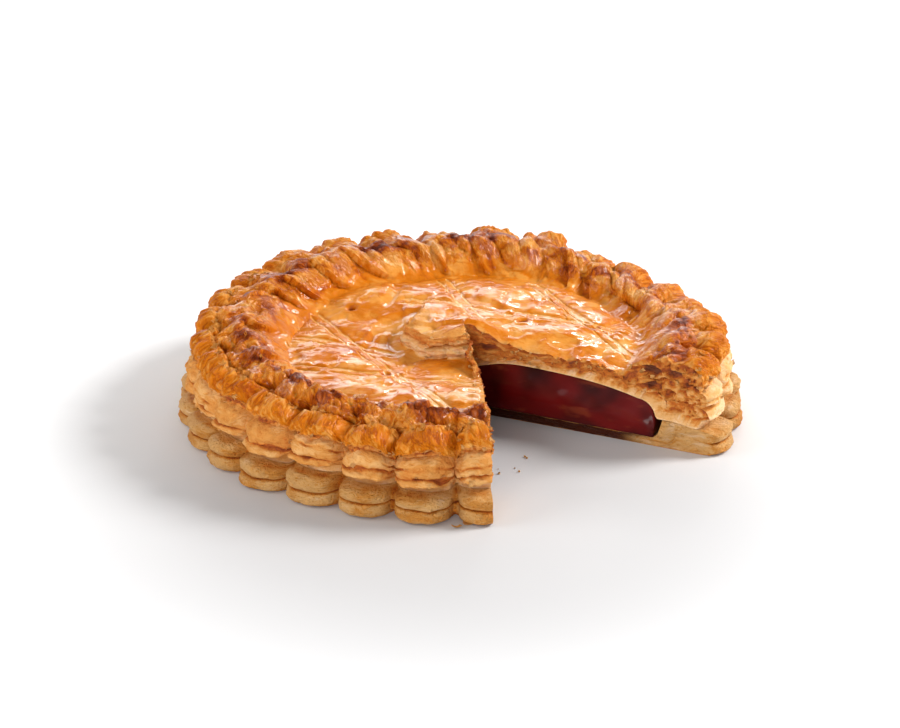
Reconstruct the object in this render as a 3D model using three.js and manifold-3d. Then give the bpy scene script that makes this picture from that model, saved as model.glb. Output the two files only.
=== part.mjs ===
// A galette des rois: a round puff-pastry cake over a cooked plum and apple filling, with one slice
// cut out and taken away. It stands on its flat base, with the middle of its round outline at the
// origin, +Z up, and the cut open to the front and right (-Y, +X). All sizes are in millimetres.
//
// It is made of three pieces, as a baker builds it: a base sheet of pastry, the filling, and a lid
// sheet that is laid over them and pinched to the base in lobes all along the edge. Each piece is a
// stack of rings that run round the cake from one cut face to the other, closed by the two cuts.
import * as THREE from "three";
import { mergeVertices } from "three/addons/utils/BufferGeometryUtils.js";
import Module from "manifold-3d";

const wasm = await Module();
wasm.setup();

const radians = THREE.MathUtils.degToRad;
const { lerp, clamp, smoothstep } = THREE.MathUtils;

// ---- Driving sizes ------------------------------------------------------------------------------

const OUTER_RADIUS = 130; // the widest pads of the edge
const GAP = 0.3; // between pieces that lie on each other

const LOBES = 28; // pinched lobes in the whole round
const LOBE_ANGLE = (2 * Math.PI) / LOBES;
const GROOVE_AT = radians(88.6); // one of the pinched grooves between lobes

const APEX = { x: 1.5, y: 1.5 }; // where the two cuts meet
const CUT_RIGHT = radians(-25.8); // the cut face that looks to the front
const CUT_LEFT = radians(275.5); // the cut face that looks to the right
const CUT_BEND = 4.6; // the left of the cake has been pushed this far into the cut near its tip

const BASE_UNDER_FILLING = 4;
const SEAM_HEIGHT = 13.2; // where lid and base are pressed together at the edge
const SEAM_SPREAD = 1.6; // and how much that differs from lobe to lobe
const LIP = 2.6; // the slit between lid and base is this high at its mouth
const FILLING_RADIUS = 97;
const FILLING_SHOULDER = 88; // the filling is full height up to here
const FILLING_EDGE_HEIGHT = 22; // top of the filling at its shoulder
const FILLING_TOP = 27.6; // top of the filling further in
const FILLING_SLUMP = 2.2; // it has sunk out of the cut this far, most at mid height

const DOME_TOP = 37.5; // lid over the filling
const DOME_FLATNESS = 3.4; // a high power: flat in the middle, steep near the fold
const TIP_RISE = 4; // the lid has risen more at the cut's corner
const TIP_SPREAD = 14;
const SAG = 2.6; // the lid hangs down this far along the right cut
const SAG_AT = 42; // deepest at this distance from the cuts' corner
const SAG_SPREAD = 24; // and much less this far from there
const SAG_WIDTH = radians(30); // it is level again this far round from the cut
const VALLEY_HEIGHT = 33.8; // the fold between dome and rim
const VALLEY_RADIUS = 81;
const CREST_HEIGHT = 45; // the puffed rim
const CREST_RADIUS = 100;
const CREASE_RADIUS = 106.5; // a crease between the rim's crest and the caps of the lobes
const CREASE_DEPTH = 2.2;
const RIM_SHOULDER = 116; // where the rim's top turns down to the side
const GROOVE_NOTCH = 7; // how far the grooves between lobes cut down into the rim's shoulder
const ROLL_HEIGHT = 3; // slanting rolls over the rim
const ROLL_WIDTH = 19; // along the crest
const ROLL_SLANT = 26; // going this far out, a roll moves on by its own width
const SIDE_TAPER = 9; // the top of the side stands back this far from the widest pads

// The pastry in front of this line round the middle has sunk, and left a broken wall behind it.
const STEP_LINE = [
  [-8, 54],
  [-15, 40],
  [-20, 22],
  [-26, 9],
  [-21, 0],
  [-14.5, -8.7],
  [12, -8.7],
];
const STEP_SINK = 9.5;
const STEP_REACH = 46; // the sunken pastry comes up again over this distance
const STEP_LEAN = 0.8; // half the width of the wall, seen from above
const STEP_BACK = 52; // the wall has run out this far back (+Y)
const STEP_RUN_OUT = 56; // and grows to its full height over this distance to the front
const SUNK_BACK = 60; // the sunken pastry is level again this far back
const SUNK_RUN_OUT = 30; // and sinks over this distance
const STEP_FREE_RADIUS = 45; // the same ring where there is no wall

const SCORE_DEPTH = 1.5; // the blade's lines on the lid
const SCORE_HALF_WIDTH = 1.3;
const SCORE_PAIR = 4.4; // the lines come in pairs, this far apart
const PILLOW = 1.4; // the pastry between the lines has puffed up this much
const PRICK_RADIUS = 1.5;
const PRICK_DEPTH = 7;
const SLIVER = 0.08; // where blade lines cross the lid, creases slighter than this are left out

// The rim is not the same all round: over some angles it stands further out, or higher, or its caps
// lie lower against its crest.
const SWELLS = [
  { at: radians(128), spread: radians(17), out: 2.6, up: 0.8, cap: 0 },
  { at: radians(84), spread: radians(24), out: 2, up: 2.2, cap: 0 },
  { at: radians(34), spread: radians(27), out: -4, up: -5.5, cap: 0 },
  { at: radians(266), spread: radians(40), out: 0, up: -1.8, cap: 0 },
  { at: radians(250), spread: radians(48), out: 0, up: 0, cap: -3 },
];

// ---- Uneven, but the same each time -------------------------------------------------------------

function chance(a, b) {
  const wave = Math.sin(a * 127.1 + b * 311.7) * 43758.5453;
  return wave - Math.floor(wave);
}

// Smooth bumps between -1 and 1, about one unit apart.
function bumps(x, y, kind) {
  const [i, j] = [Math.floor(x), Math.floor(y)];
  const [s, t] = [smoothstep(x - i, 0, 1), smoothstep(y - j, 0, 1)];
  const at = (di, dj) => chance(i + di + 57 * kind, j + dj);
  return 2 * lerp(lerp(at(0, 0), at(1, 0), s), lerp(at(0, 1), at(1, 1), s), t) - 1;
}

// ---- The lobes of the edge ----------------------------------------------------------------------

// The angle round the middle, counted from inside the cut so that it runs on without a jump.
function roundAngle(x, y) {
  const turn = Math.atan2(y, x);
  return turn < radians(-60) ? turn + 2 * Math.PI : turn;
}

// The lobes are numbered from the back to the left, and go on from a number below zero at the front.
const HIGHEST_LOBE = 7;
const lobeNumber = (count) => (count > HIGHEST_LOBE ? count - LOBES : count);

// The lobe at an angle: its number, its neighbour's, and across from -1 in one groove to 1 in the next.
function lobeAt(angle) {
  const turns = (angle - GROOVE_AT) / LOBE_ANGLE;
  const groove = (k) => k + 0.14 * (chance(lobeNumber(k), 1) - 0.5);
  let count = Math.floor(turns);
  if (turns < groove(count)) count -= 1;
  else if (turns >= groove(count + 1)) count += 1;
  const across = (2 * (turns - groove(count))) / (groove(count + 1) - groove(count)) - 1;
  return { number: lobeNumber(count), next: lobeNumber(count + Math.sign(across)), across };
}

// A value from -1 to 1 that each lobe has for itself, and that changes over in the groove.
function ofLobe(lobe, kind) {
  const own = 2 * chance(lobe.number, kind) - 1;
  const other = 2 * chance(lobe.next, kind) - 1;
  return lerp(own, other, smoothstep(Math.abs(lobe.across), 0.8, 1) / 2);
}

// How far the edge stands back at a place across the lobe, for a groove of the given depth, which has
// a narrow floor.
const GROOVE_FLOOR_FROM = 0.94;
function pinch(across, depth) {
  const share = Math.min(1, Math.abs(across) / GROOVE_FLOOR_FROM);
  return depth * (1 - Math.pow(1 - share ** 3, 1 / 2.3));
}

// ---- Rays from the cut's corner -----------------------------------------------------------------

function swellAt(round, part) {
  return SWELLS.reduce((sum, swell) => {
    const off = Math.atan2(Math.sin(round - swell.at), Math.cos(round - swell.at));
    return sum + swell[part] * Math.exp(-((off / swell.spread) ** 2));
  }, 0);
}

// A ray from the apex: its angle, its length to the round outline, and the lobe it ends in.
function rayAt(angle) {
  const [dx, dy] = [Math.cos(angle), Math.sin(angle)];
  const along = APEX.x * dx + APEX.y * dy;
  const apexSquared = APEX.x ** 2 + APEX.y ** 2;
  const length = -along + Math.sqrt(along ** 2 + OUTER_RADIUS ** 2 - apexSquared);
  const round = roundAngle(APEX.x + length * dx, APEX.y + length * dy);
  const lobe = lobeAt(round);
  const bend = CUT_BEND * smoothstep(angle, CUT_LEFT - radians(60), CUT_LEFT);
  const [out, up, cap] = ["out", "up", "cap"].map((part) => swellAt(round, part));
  return { angle, dx, dy, length, bend, lobe, out, up, cap };
}

// The point at a radius on a ray. Radii run from 0 at the apex to OUTER_RADIUS at the outline.
function place(ray, radius, height) {
  const along = (radius / OUTER_RADIUS) * ray.length;
  const aside = ray.bend * smoothstep(along, 2, 20) * (1 - smoothstep(along, 20, 128));
  return [APEX.x + along * ray.dx - aside * ray.dy, APEX.y + along * ray.dy + aside * ray.dx, height];
}

// ---- The step in the middle ---------------------------------------------------------------------

// How far along a ray the broken line lies, or nothing where the ray misses it.
function stepAlong(ray) {
  for (let i = 1; i < STEP_LINE.length; i++) {
    const [ax, ay] = STEP_LINE[i - 1];
    const [ux, uy] = [STEP_LINE[i][0] - ax, STEP_LINE[i][1] - ay];
    const [px, py] = [ax - APEX.x, ay - APEX.y];
    const turn = ray.dx * uy - ray.dy * ux;
    const along = (px * uy - py * ux) / turn;
    const share = (px * ray.dy - py * ray.dx) / turn;
    if (along > 0 && share >= 0 && share <= 1) return along;
  }
  return null;
}

// The sinking at a place: none behind the line, most at its foot, and none at its far back end.
function sink(ray, radius) {
  const step = stepAlong(ray);
  const along = (radius / OUTER_RADIUS) * ray.length;
  if (step === null || along <= step) return 0;
  const y = APEX.y + along * ray.dy;
  const wall = smoothstep(STEP_BACK - (APEX.y + step * ray.dy), 0, STEP_RUN_OUT);
  const fade = Math.exp(-(((along - step) / STEP_REACH) ** 2));
  return STEP_SINK * wall * fade * smoothstep(SUNK_BACK - y, 0, SUNK_RUN_OUT);
}

// How far the lid hangs down near the right cut.
function sag(ray, radius) {
  const along = (radius / OUTER_RADIUS) * ray.length;
  const fromCut = 1 - smoothstep(ray.angle, CUT_RIGHT, CUT_RIGHT + SAG_WIDTH);
  return SAG * fromCut * Math.exp(-(((along - SAG_AT) / SAG_SPREAD) ** 2));
}

const stepRadius = (ray, lean) => {
  const step = stepAlong(ray) ?? STEP_FREE_RADIUS;
  return ((step + lean) * OUTER_RADIUS) / ray.length;
};

// ---- Score lines --------------------------------------------------------------------------------

// Pairs of blade lines over the dome: the angle they run at, how far from the middle they pass, and
// where along them they begin and end, counted from the point nearest to the middle.
const SCORES = [
  { run: radians(-75), offset: 11.5, from: -76, to: -11 },
  { run: radians(-63.7), offset: 61, from: -46, to: 50 },
  { run: radians(-61.3), offset: -41, from: -66, to: 64 },
  { run: radians(-18.7), offset: 35, from: -40, to: 70 },
  { run: radians(-17), offset: -12, from: -76, to: -29 },
  { run: radians(-12), offset: -40, from: -70, to: 20 },
];

function scoreDistance(x, y) {
  return SCORES.reduce((least, { run, offset, from, to }) => {
    const along = x * Math.cos(run) + y * Math.sin(run);
    const across = -x * Math.sin(run) + y * Math.cos(run) - offset;
    const beyond = Math.max(0, from - along, along - to);
    return Math.min(least, Math.hypot(across, beyond));
  }, Infinity);
}

// ---- Heights of the lid -------------------------------------------------------------------------

const crestHeight = (ray) => CREST_HEIGHT + ray.up + 1.1 * ofLobe(ray.lobe, 2);
const shoulderHeight = (ray) => crestHeight(ray) - 1.6 + 0.8 * ofLobe(ray.lobe, 4) + ray.cap;

// Rounded rolls with sharp creases between them, slanting over the rim.
function rolls(round, radius, kind) {
  const along = (round * CREST_RADIUS) / ROLL_WIDTH + 0.45 * bumps(round * 9, radius / 14, kind);
  return Math.abs(Math.sin(Math.PI * (along - radius / ROLL_SLANT))) ** 0.8 - 0.6;
}

function topHeight(ray, radius) {
  const valleyRadius = VALLEY_RADIUS + 1.5 * ofLobe(ray.lobe, 5);
  const valley = VALLEY_HEIGHT + 0.7 * ofLobe(ray.lobe, 3) + 0.25 * ray.up;
  const crest = crestHeight(ray);
  const [x, y] = place(ray, radius, 0);
  const round = roundAngle(x, y);
  let height;
  if (radius < valleyRadius) {
    height = valley + (DOME_TOP - valley) * (1 - (radius / valleyRadius) ** DOME_FLATNESS);
    height += TIP_RISE * Math.exp(-((Math.hypot(x - 5, y - 2) / TIP_SPREAD) ** 2));
    height += PILLOW * (1 - Math.exp(-scoreDistance(x, y) / 7)) * smoothstep(valleyRadius - radius, 0, 14);
    height -= sink(ray, radius) + sag(ray, radius);
  } else if (radius < CREST_RADIUS) {
    const climb = (radius - valleyRadius) / (CREST_RADIUS - valleyRadius);
    height = lerp(valley, crest, Math.sin((climb * Math.PI) / 2) ** 1.25);
  } else {
    const toCap = smoothstep(radius, CREST_RADIUS, RIM_SHOULDER);
    height = lerp(crest, shoulderHeight(ray), toCap);
    height -= CREASE_DEPTH * Math.exp(-(((radius - CREASE_RADIUS) / 3.4) ** 2));
  }
  const onRim = smoothstep(radius, valleyRadius + 3, CREST_RADIUS - 3);
  const nearEdge = smoothstep(radius, 98, RIM_SHOULDER);
  height -= GROOVE_NOTCH * Math.abs(ray.lobe.across) ** 4 * nearEdge;
  height += onRim * (ROLL_HEIGHT * rolls(round, radius, 8) + 0.9 * bumps(x / 9, y / 9, 2));
  height += (1 - onRim) * 0.6 * bumps(x / 20, y / 20, 3);
  return height;
}

// The underside of the lid over the filling: nearly flat, sunk where the lid has sunk, lower at the
// tip, and rounded down to the seam at its outer end.
function underHeight(ray, radius) {
  const along = (radius / OUTER_RADIUS) * ray.length;
  const tip = 5.5 * Math.exp(-((along / 15) ** 2));
  if (radius < FILLING_SHOULDER) {
    const drop = (FILLING_TOP - FILLING_EDGE_HEIGHT) * (radius / FILLING_SHOULDER) ** 4;
    const sunk = 0.6 * STEP_SINK * smoothstep(ray.angle, radians(120), radians(200));
    return FILLING_TOP - drop - Math.max(tip, sunk * Math.exp(-((along / 55) ** 2)));
  }
  const out = (radius - FILLING_SHOULDER) / (FILLING_RADIUS - FILLING_SHOULDER);
  return lerp(SEAM_HEIGHT, FILLING_EDGE_HEIGHT, Math.sqrt(Math.max(0, 1 - out * out)));
}

// ---- The edge, seen from the side ---------------------------------------------------------------

const seamHeight = (ray) => SEAM_HEIGHT + SEAM_SPREAD * ofLobe(ray.lobe, 10);
const slant = (ray) => ofLobe(ray.lobe, 9) * ray.lobe.across;

// The heights on a lobe's side, as shares of the way from its foot to its top, between which the
// pastry has puffed: its lower layers, its upper layers, a rough pale band, and the glazed cap.
const LEVELS = {
  foot: () => 0,
  fold: (ray) => 0.25 + 0.05 * ofLobe(ray.lobe, 11) + 0.06 * slant(ray),
  band: (ray) => 0.56 + 0.03 * ofLobe(ray.lobe, 12) + 0.02 * slant(ray),
  cap: (ray) => 0.68 + 0.03 * ofLobe(ray.lobe, 13),
  top: () => 1,
};

// A row of points along the side: between two levels, a share of the way up, standing out by `out`
// from the taper of the side, with grooves `deep` between the lobes.
const sideRow = (from, to, share, out, deep) => (ray) => {
  const [foot, top] = [seamHeight(ray) + LIP, topHeight(ray, RIM_SHOULDER) - 1.2];
  const height = lerp(foot, top, lerp(LEVELS[from](ray), LEVELS[to](ray), share));
  const back = SIDE_TAPER * smoothstep(height, 2, 46) + 0.4;
  const swell = 0.9 * ofLobe(ray.lobe, { foot: 20, fold: 21, band: 22, cap: 23 }[from]);
  const outward = ray.out * smoothstep(height, 14, 40);
  return [OUTER_RADIUS - back + out + swell + outward - pinch(ray.lobe.across, deep), height];
};

const LID_SIDE = [
  sideRow("foot", "fold", -0.2, -3.4, 9),
  sideRow("foot", "fold", 0.08, -0.6, 9.5),
  sideRow("foot", "fold", 0.5, 0.3, 9.5),
  sideRow("foot", "fold", 0.88, -0.9, 9),
  sideRow("fold", "band", 0.02, -3, 8.5),
  sideRow("fold", "band", 0.2, -0.6, 9),
  sideRow("fold", "band", 0.55, 0.2, 9),
  sideRow("fold", "band", 0.92, -1, 8.5),
  sideRow("band", "cap", 0.15, -2.8, 8),
  sideRow("band", "cap", 0.9, -2.6, 8),
  sideRow("cap", "top", 0.04, 0.2, 8),
  sideRow("cap", "top", 0.5, 1.4, 8),
  sideRow("cap", "top", 1, -1.6, 7),
];

// Base and lid meet in a slit between the lobes' pads: this ring is its inner end, on both of them.
const slit = (lift) => ({
  rays: RAYS.fine,
  at: (ray) => [OUTER_RADIUS - 10 - pinch(ray.lobe.across, 8), seamHeight(ray) + lift],
});

// ---- Pieces from rings --------------------------------------------------------------------------

// Angles of the rays: each lobe has one in its groove and more across it, and the cuts come exactly.
const ACROSS = [-1, -0.84, -0.32, 0.32, 0.84];
function rayAngles() {
  const found = [CUT_RIGHT, CUT_LEFT];
  const steps = 4000;
  let last = rayAt(CUT_RIGHT).lobe;
  for (let i = 1; i < steps; i++) {
    const angle = lerp(CUT_RIGHT, CUT_LEFT, i / steps);
    const lobe = rayAt(angle).lobe;
    const passed = (a) =>
      lobe.number === last.number ? last.across < a && lobe.across >= a : a === -1;
    const clearOfCuts = Math.min(angle - CUT_RIGHT, CUT_LEFT - angle) > radians(0.8);
    if (ACROSS.some(passed) && clearOfCuts) found.push(angle);
    last = lobe;
  }
  return found.sort((a, b) => a - b);
}
const ALL_RAYS = rayAngles().map(rayAt);
const thinned = (step) => ALL_RAYS.filter((_, i) => i % step === 0 || i === ALL_RAYS.length - 1);
const RAYS = { fine: ALL_RAYS, half: thinned(2), coarse: thinned(4) };

// A closed piece. `top` and `bottom` are rings from the apex outwards, the same number of them, each
// { rays, at(ray) -> [radius, height] }. `side` has the rings between the last of them, from below
// upwards. `relief(along, height, end)` moves the cut faces in (less than 0) or out.
function sectorPiece({ top, bottom, side, relief }) {
  const points = [];
  const faces = [];
  const add = (point) => points.push(point) - 1;
  const ringOf = ({ rays, at }, rank) => ({
    rank,
    angles: rays.map((ray) => ray.angle),
    ids: rays.map((ray) => add(place(ray, ...at(ray)))),
  });
  const apexOf = ({ at }) => {
    const ray = ALL_RAYS[0];
    return { rank: -1, angles: [CUT_RIGHT], ids: [add(place(ray, 0, at(ray)[1]))] };
  };
  const tops = [apexOf(top[0]), ...top.slice(1).map(ringOf)];
  const bottoms = [apexOf(bottom[0]), ...bottom.slice(1).map(ringOf)];
  const sides = [bottoms.at(-1), ...side.map((row) => ringOf(row, 0)), tops.at(-1)];

  // Two neighbouring rings are joined by triangles. Where both could go on, the outer one does, so
  // that the top of one piece and the underside of the next are split into the same triangles.
  const join = (a, b) => {
    let [i, j] = [0, 0];
    while (i < a.ids.length - 1 || j < b.ids.length - 1) {
      const nextA = i < a.ids.length - 1 ? a.angles[i + 1] : Infinity;
      const nextB = j < b.ids.length - 1 ? b.angles[j + 1] : Infinity;
      const goOnA = nextA < nextB || (nextA === nextB && a.rank > b.rank);
      if (goOnA) faces.push([a.ids[i], a.ids[++i], b.ids[j]]);
      else faces.push([a.ids[i], b.ids[j + 1], b.ids[j++]]);
    }
  };
  const loop = [...tops, ...sides.slice(1, -1).reverse(), ...bottoms.toReversed()];
  loop.slice(1).forEach((ring, i) => join(ring, loop[i]));

  // The upright line where the two cut faces meet.
  const rows = sides.length - 1;
  const columns = tops.length - 1;
  const [low, high] = [points[bottoms[0].ids[0]][2], points[tops[0].ids[0]][2]];
  const upright = Array.from({ length: rows + 1 }, (_, j) => {
    if (j === 0) return bottoms[0].ids[0];
    if (j === rows) return tops[0].ids[0];
    return add([APEX.x, APEX.y, lerp(low, high, j / rows)]);
  });

  // Each cut face is a grid between its four edges: upright, outer side, bottom and top.
  for (const end of [0, 1]) {
    const ray = end ? ALL_RAYS.at(-1) : ALL_RAYS[0];
    const pick = (ring) => (end ? ring.ids.at(-1) : ring.ids[0]);
    const [T, B, S] = [tops.map(pick), bottoms.map(pick), sides.map(pick)];
    const inside = (i, j) => {
      const [u, v] = [i / columns, j / rows];
      const mix = (axis) => {
        const p = (id) => points[id][axis];
        const upAndDown = lerp(p(B[i]), p(T[i]), v) + lerp(p(upright[j]), p(S[j]), u);
        return upAndDown - lerp(lerp(p(B[0]), p(B[columns]), u), lerp(p(T[0]), p(T[columns]), u), v);
      };
      const [x, y, z] = [mix(0), mix(1), mix(2)];
      const out = relief(Math.hypot(x - APEX.x, y - APEX.y), z, end) * (end ? 1 : -1);
      return add([x - out * ray.dy, y + out * ray.dx, z]);
    };
    const grid = T.map((_, i) =>
      S.map((__, j) => {
        if (i === 0) return upright[j];
        if (i === columns) return S[j];
        if (j === 0) return B[i];
        if (j === rows) return T[i];
        return inside(i, j);
      }),
    );
    for (let i = 0; i < columns; i++)
      for (let j = 0; j < rows; j++) {
        const [a, b, c, d] = [grid[i][j], grid[i + 1][j], grid[i + 1][j + 1], grid[i][j + 1]];
        if (end) faces.push([a, c, b], [a, d, c]);
        else faces.push([a, b, c], [a, c, d]);
      }
  }

  const geometry = new THREE.BufferGeometry();
  geometry.setAttribute("position", new THREE.Float32BufferAttribute(points.flat(), 3));
  geometry.setIndex(faces.flat());
  return geometry;
}

// ---- The three pieces ---------------------------------------------------------------------------

const flatRing = (rays, radius, height) => ({ rays, at: () => [radius, height] });

// Radii that the lid's underside and the filling share, so that they lie true on each other.
const INNER_RADII = [0, 10, 22, 34, 48, 62, 78, FILLING_SHOULDER, 92, 95, FILLING_RADIUS];

// Air pockets in the crumb of the rim, where the knife went through.
const POCKETS = [
  { along: 95, height: 28.8, wide: 5, high: 2.6, deep: 3.5 },
  { along: 103, height: 27.3, wide: 3.6, high: 2, deep: 3 },
  { along: 94, height: 36.5, wide: 4.5, high: 2.6, deep: 3.5 },
  { along: 105, height: 36.5, wide: 5, high: 3, deep: 4 },
];
function crumbRelief(along, height, end) {
  const rough = 0.45 * bumps(along / 5 + 31 * end, height / 1.6, 5) - 0.3;
  return POCKETS.reduce((out, { along: a, height: h, wide, high, deep }) => {
    return out - deep * Math.exp(-(((along - a) / wide) ** 2) - ((height - h) / high) ** 2);
  }, rough);
}

function lidGeometry() {
  const topRing = (rays, radiusOf) => ({
    rays,
    at: (ray) => {
      const radius = radiusOf(ray);
      const out = ray.out * smoothstep(radius, 90, RIM_SHOULDER);
      const inset = pinch(ray.lobe.across, 7) * smoothstep(radius, 98, RIM_SHOULDER);
      return [radius + out - inset, topHeight(ray, radius)];
    },
  });
  const pastStep = (share) => (ray) => lerp(stepRadius(ray, STEP_LEAN), 66, share);
  const top = [
    topRing(RAYS.coarse, () => 0),
    topRing(RAYS.coarse, (ray) => 0.55 * stepRadius(ray, -STEP_LEAN)),
    topRing(RAYS.half, (ray) => stepRadius(ray, -STEP_LEAN)),
    topRing(RAYS.half, (ray) => stepRadius(ray, STEP_LEAN)),
    topRing(RAYS.half, pastStep(0.35)),
    topRing(RAYS.half, pastStep(0.7)),
    topRing(RAYS.half, pastStep(1)),
    ...[76, 82, 88, 94, CREST_RADIUS, CREASE_RADIUS, 111, RIM_SHOULDER].map((radius) =>
      topRing(RAYS.fine, () => radius),
    ),
  ];
  const bottom = [
    ...INNER_RADII.map((radius) => ({
      rays: RAYS.coarse,
      at: (ray) => [radius, underHeight(ray, radius) + (radius < FILLING_RADIUS ? 0 : GAP)],
    })),
    flatRing(RAYS.coarse, 99, SEAM_HEIGHT + GAP),
    flatRing(RAYS.coarse, 102, SEAM_HEIGHT + GAP),
    flatRing(RAYS.half, 106, SEAM_HEIGHT + GAP),
    slit(GAP),
  ];
  const side = LID_SIDE.map((at) => ({ rays: RAYS.fine, at }));
  return sectorPiece({ top, bottom, side, relief: crumbRelief });
}

function baseGeometry() {
  // A row of the base pads: a share of the way up to the seam, and how far it stands back.
  const edge = (share, back, deep = 9.5) => ({
    rays: RAYS.fine,
    at: (ray) => {
      const swell = 0.8 * ofLobe(ray.lobe, 30);
      return [OUTER_RADIUS - back + swell - pinch(ray.lobe.across, deep), share * seamHeight(ray)];
    },
  });
  const top = [
    flatRing(RAYS.coarse, 0, BASE_UNDER_FILLING),
    flatRing(RAYS.coarse, 50, BASE_UNDER_FILLING),
    flatRing(RAYS.coarse, FILLING_RADIUS + GAP, BASE_UNDER_FILLING),
    flatRing(RAYS.coarse, 99, SEAM_HEIGHT),
    flatRing(RAYS.coarse, 102, SEAM_HEIGHT),
    flatRing(RAYS.half, 106, SEAM_HEIGHT),
    slit(0),
  ];
  const bottom = [
    flatRing(RAYS.coarse, 0, 0),
    flatRing(RAYS.coarse, 50, 0),
    flatRing(RAYS.coarse, 96, 0),
    flatRing(RAYS.coarse, 100, 0),
    flatRing(RAYS.coarse, 103, 0),
    flatRing(RAYS.half, 107, 0),
    edge(0, 7, 7),
  ];
  const side = [
    edge(0.14, 2.6, 8.5),
    edge(0.36, 0.5),
    edge(0.5, 2.2, 9),
    edge(0.63, 0.6),
    edge(0.92, 1.8),
  ];
  const relief = (along, height) => 0.4 * bumps(along / 6, height / 1.5, 6) - 0.25;
  return sectorPiece({ top, bottom, side, relief });
}

function fillingGeometry() {
  const foot = BASE_UNDER_FILLING + GAP;
  const top = INNER_RADII.map((radius) => ({
    rays: RAYS.coarse,
    at: (ray) => [radius > 90 ? radius - GAP : radius, underHeight(ray, radius) - GAP],
  }));
  const bottom = INNER_RADII.map((radius) =>
    flatRing(RAYS.coarse, radius * (1 - 2.5 / FILLING_RADIUS), foot),
  );
  const side = [0.3, 0.65].map((share) => ({
    rays: RAYS.coarse,
    at: () => [FILLING_RADIUS - GAP - 0.8 * (1 - share), lerp(foot, SEAM_HEIGHT - GAP, share)],
  }));
  const relief = (along, height, end) => {
    const up = clamp((height - foot) / (FILLING_EDGE_HEIGHT - foot), 0, 1);
    const lumps = 0.5 * bumps(along / 9 + 13 * end, height / 7, 7);
    return (FILLING_SLUMP + lumps) * Math.sin(Math.PI * up) * smoothstep(along, 0, 12);
  };
  return sectorPiece({ top, bottom, side, relief });
}

// ---- The blade's lines and pricks in the lid ----------------------------------------------------

const PRICKS = [
  [-50.5, 41],
  [-34, -30],
  [29, 17],
];

const heightAt = (x, y) => {
  const ray = rayAt(roundAngle(x - APEX.x, y - APEX.y));
  return topHeight(ray, (Math.hypot(x - APEX.x, y - APEX.y) / ray.length) * OUTER_RADIUS);
};

function solidOf(geometry) {
  const bare = new THREE.BufferGeometry();
  bare.setAttribute("position", geometry.getAttribute("position"));
  if (geometry.index) bare.setIndex(geometry.index);
  const merged = mergeVertices(bare, 1e-4);
  return new wasm.Manifold(
    new wasm.Mesh({
      numProp: 3,
      vertProperties: merged.getAttribute("position").array,
      triVerts: Uint32Array.from(merged.index.array),
    }),
  );
}

function geometryOf(solid) {
  const mesh = solid.getMesh();
  const geometry = new THREE.BufferGeometry();
  geometry.setAttribute("position", new THREE.BufferAttribute(mesh.vertProperties, 3));
  geometry.setIndex(new THREE.BufferAttribute(mesh.triVerts, 1));
  return geometry;
}

// A blade's line: a wedge that follows the lid's surface from one end of the line to the other.
function scoreCutter({ run, offset, from, to }) {
  const [dx, dy] = [Math.cos(run), Math.sin(run)];
  const [nx, ny] = [-dy, dx];
  const steps = Math.max(4, Math.round((to - from) / 9));
  const rise = 6;
  const half = (SCORE_HALF_WIDTH * (rise + SCORE_DEPTH)) / SCORE_DEPTH;
  const positions = [];
  for (let i = 0; i <= steps; i++) {
    const along = lerp(from, to, i / steps);
    const [x, y] = [nx * offset + dx * along, ny * offset + dy * along];
    const z = heightAt(x, y) - SCORE_DEPTH * (i === 0 || i === steps ? 0.2 : 1);
    positions.push(x, y, z);
    positions.push(x + nx * half, y + ny * half, z + rise);
    positions.push(x - nx * half, y - ny * half, z + rise);
  }
  const index = [0, 2, 1, 3 * steps, 3 * steps + 1, 3 * steps + 2];
  for (let i = 0; i < steps; i++) {
    const [a, b] = [3 * i, 3 * i + 3];
    for (const [p, q] of [[0, 1], [1, 2], [2, 0]])
      index.push(a + p, a + q, b + p, a + q, b + q, b + p);
  }
  const geometry = new THREE.BufferGeometry();
  geometry.setAttribute("position", new THREE.Float32BufferAttribute(positions, 3));
  geometry.setIndex(index);
  return solidOf(geometry);
}

function prickCutter([x, y]) {
  const cone = new THREE.CylinderGeometry(PRICK_RADIUS, PRICK_RADIUS * 0.5, PRICK_DEPTH + 4, 7);
  cone.rotateX(Math.PI / 2);
  cone.translate(x, y, heightAt(x, y) + 2 - PRICK_DEPTH / 2);
  return solidOf(cone);
}

function scoredLid() {
  let lid = solidOf(lidGeometry());
  for (const score of SCORES)
    for (const side of [-SCORE_PAIR / 2, SCORE_PAIR / 2])
      lid = lid.subtract(scoreCutter({ ...score, offset: score.offset + side }));
  for (const prick of PRICKS) lid = lid.subtract(prickCutter(prick));
  return geometryOf(lid.simplify(SLIVER));
}

// ---- Materials and the finished cake ------------------------------------------------------------

const glazedPastry = new THREE.MeshStandardMaterial({ color: 0xc9741c, roughness: 0.35 });
const palePastry = new THREE.MeshStandardMaterial({ color: 0xd49c58, roughness: 0.75 });
const plumFilling = new THREE.MeshStandardMaterial({ color: 0x5a1408, roughness: 0.25 });

function mesh(name, geometry, material) {
  const made = new THREE.Mesh(geometry, material);
  made.name = name;
  return made;
}

const galette = new THREE.Group();
galette.add(
  mesh("base", baseGeometry(), palePastry),
  mesh("filling", fillingGeometry(), plumFilling),
  mesh("lid", scoredLid(), glazedPastry),
);

export default galette;
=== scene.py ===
import functools

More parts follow.
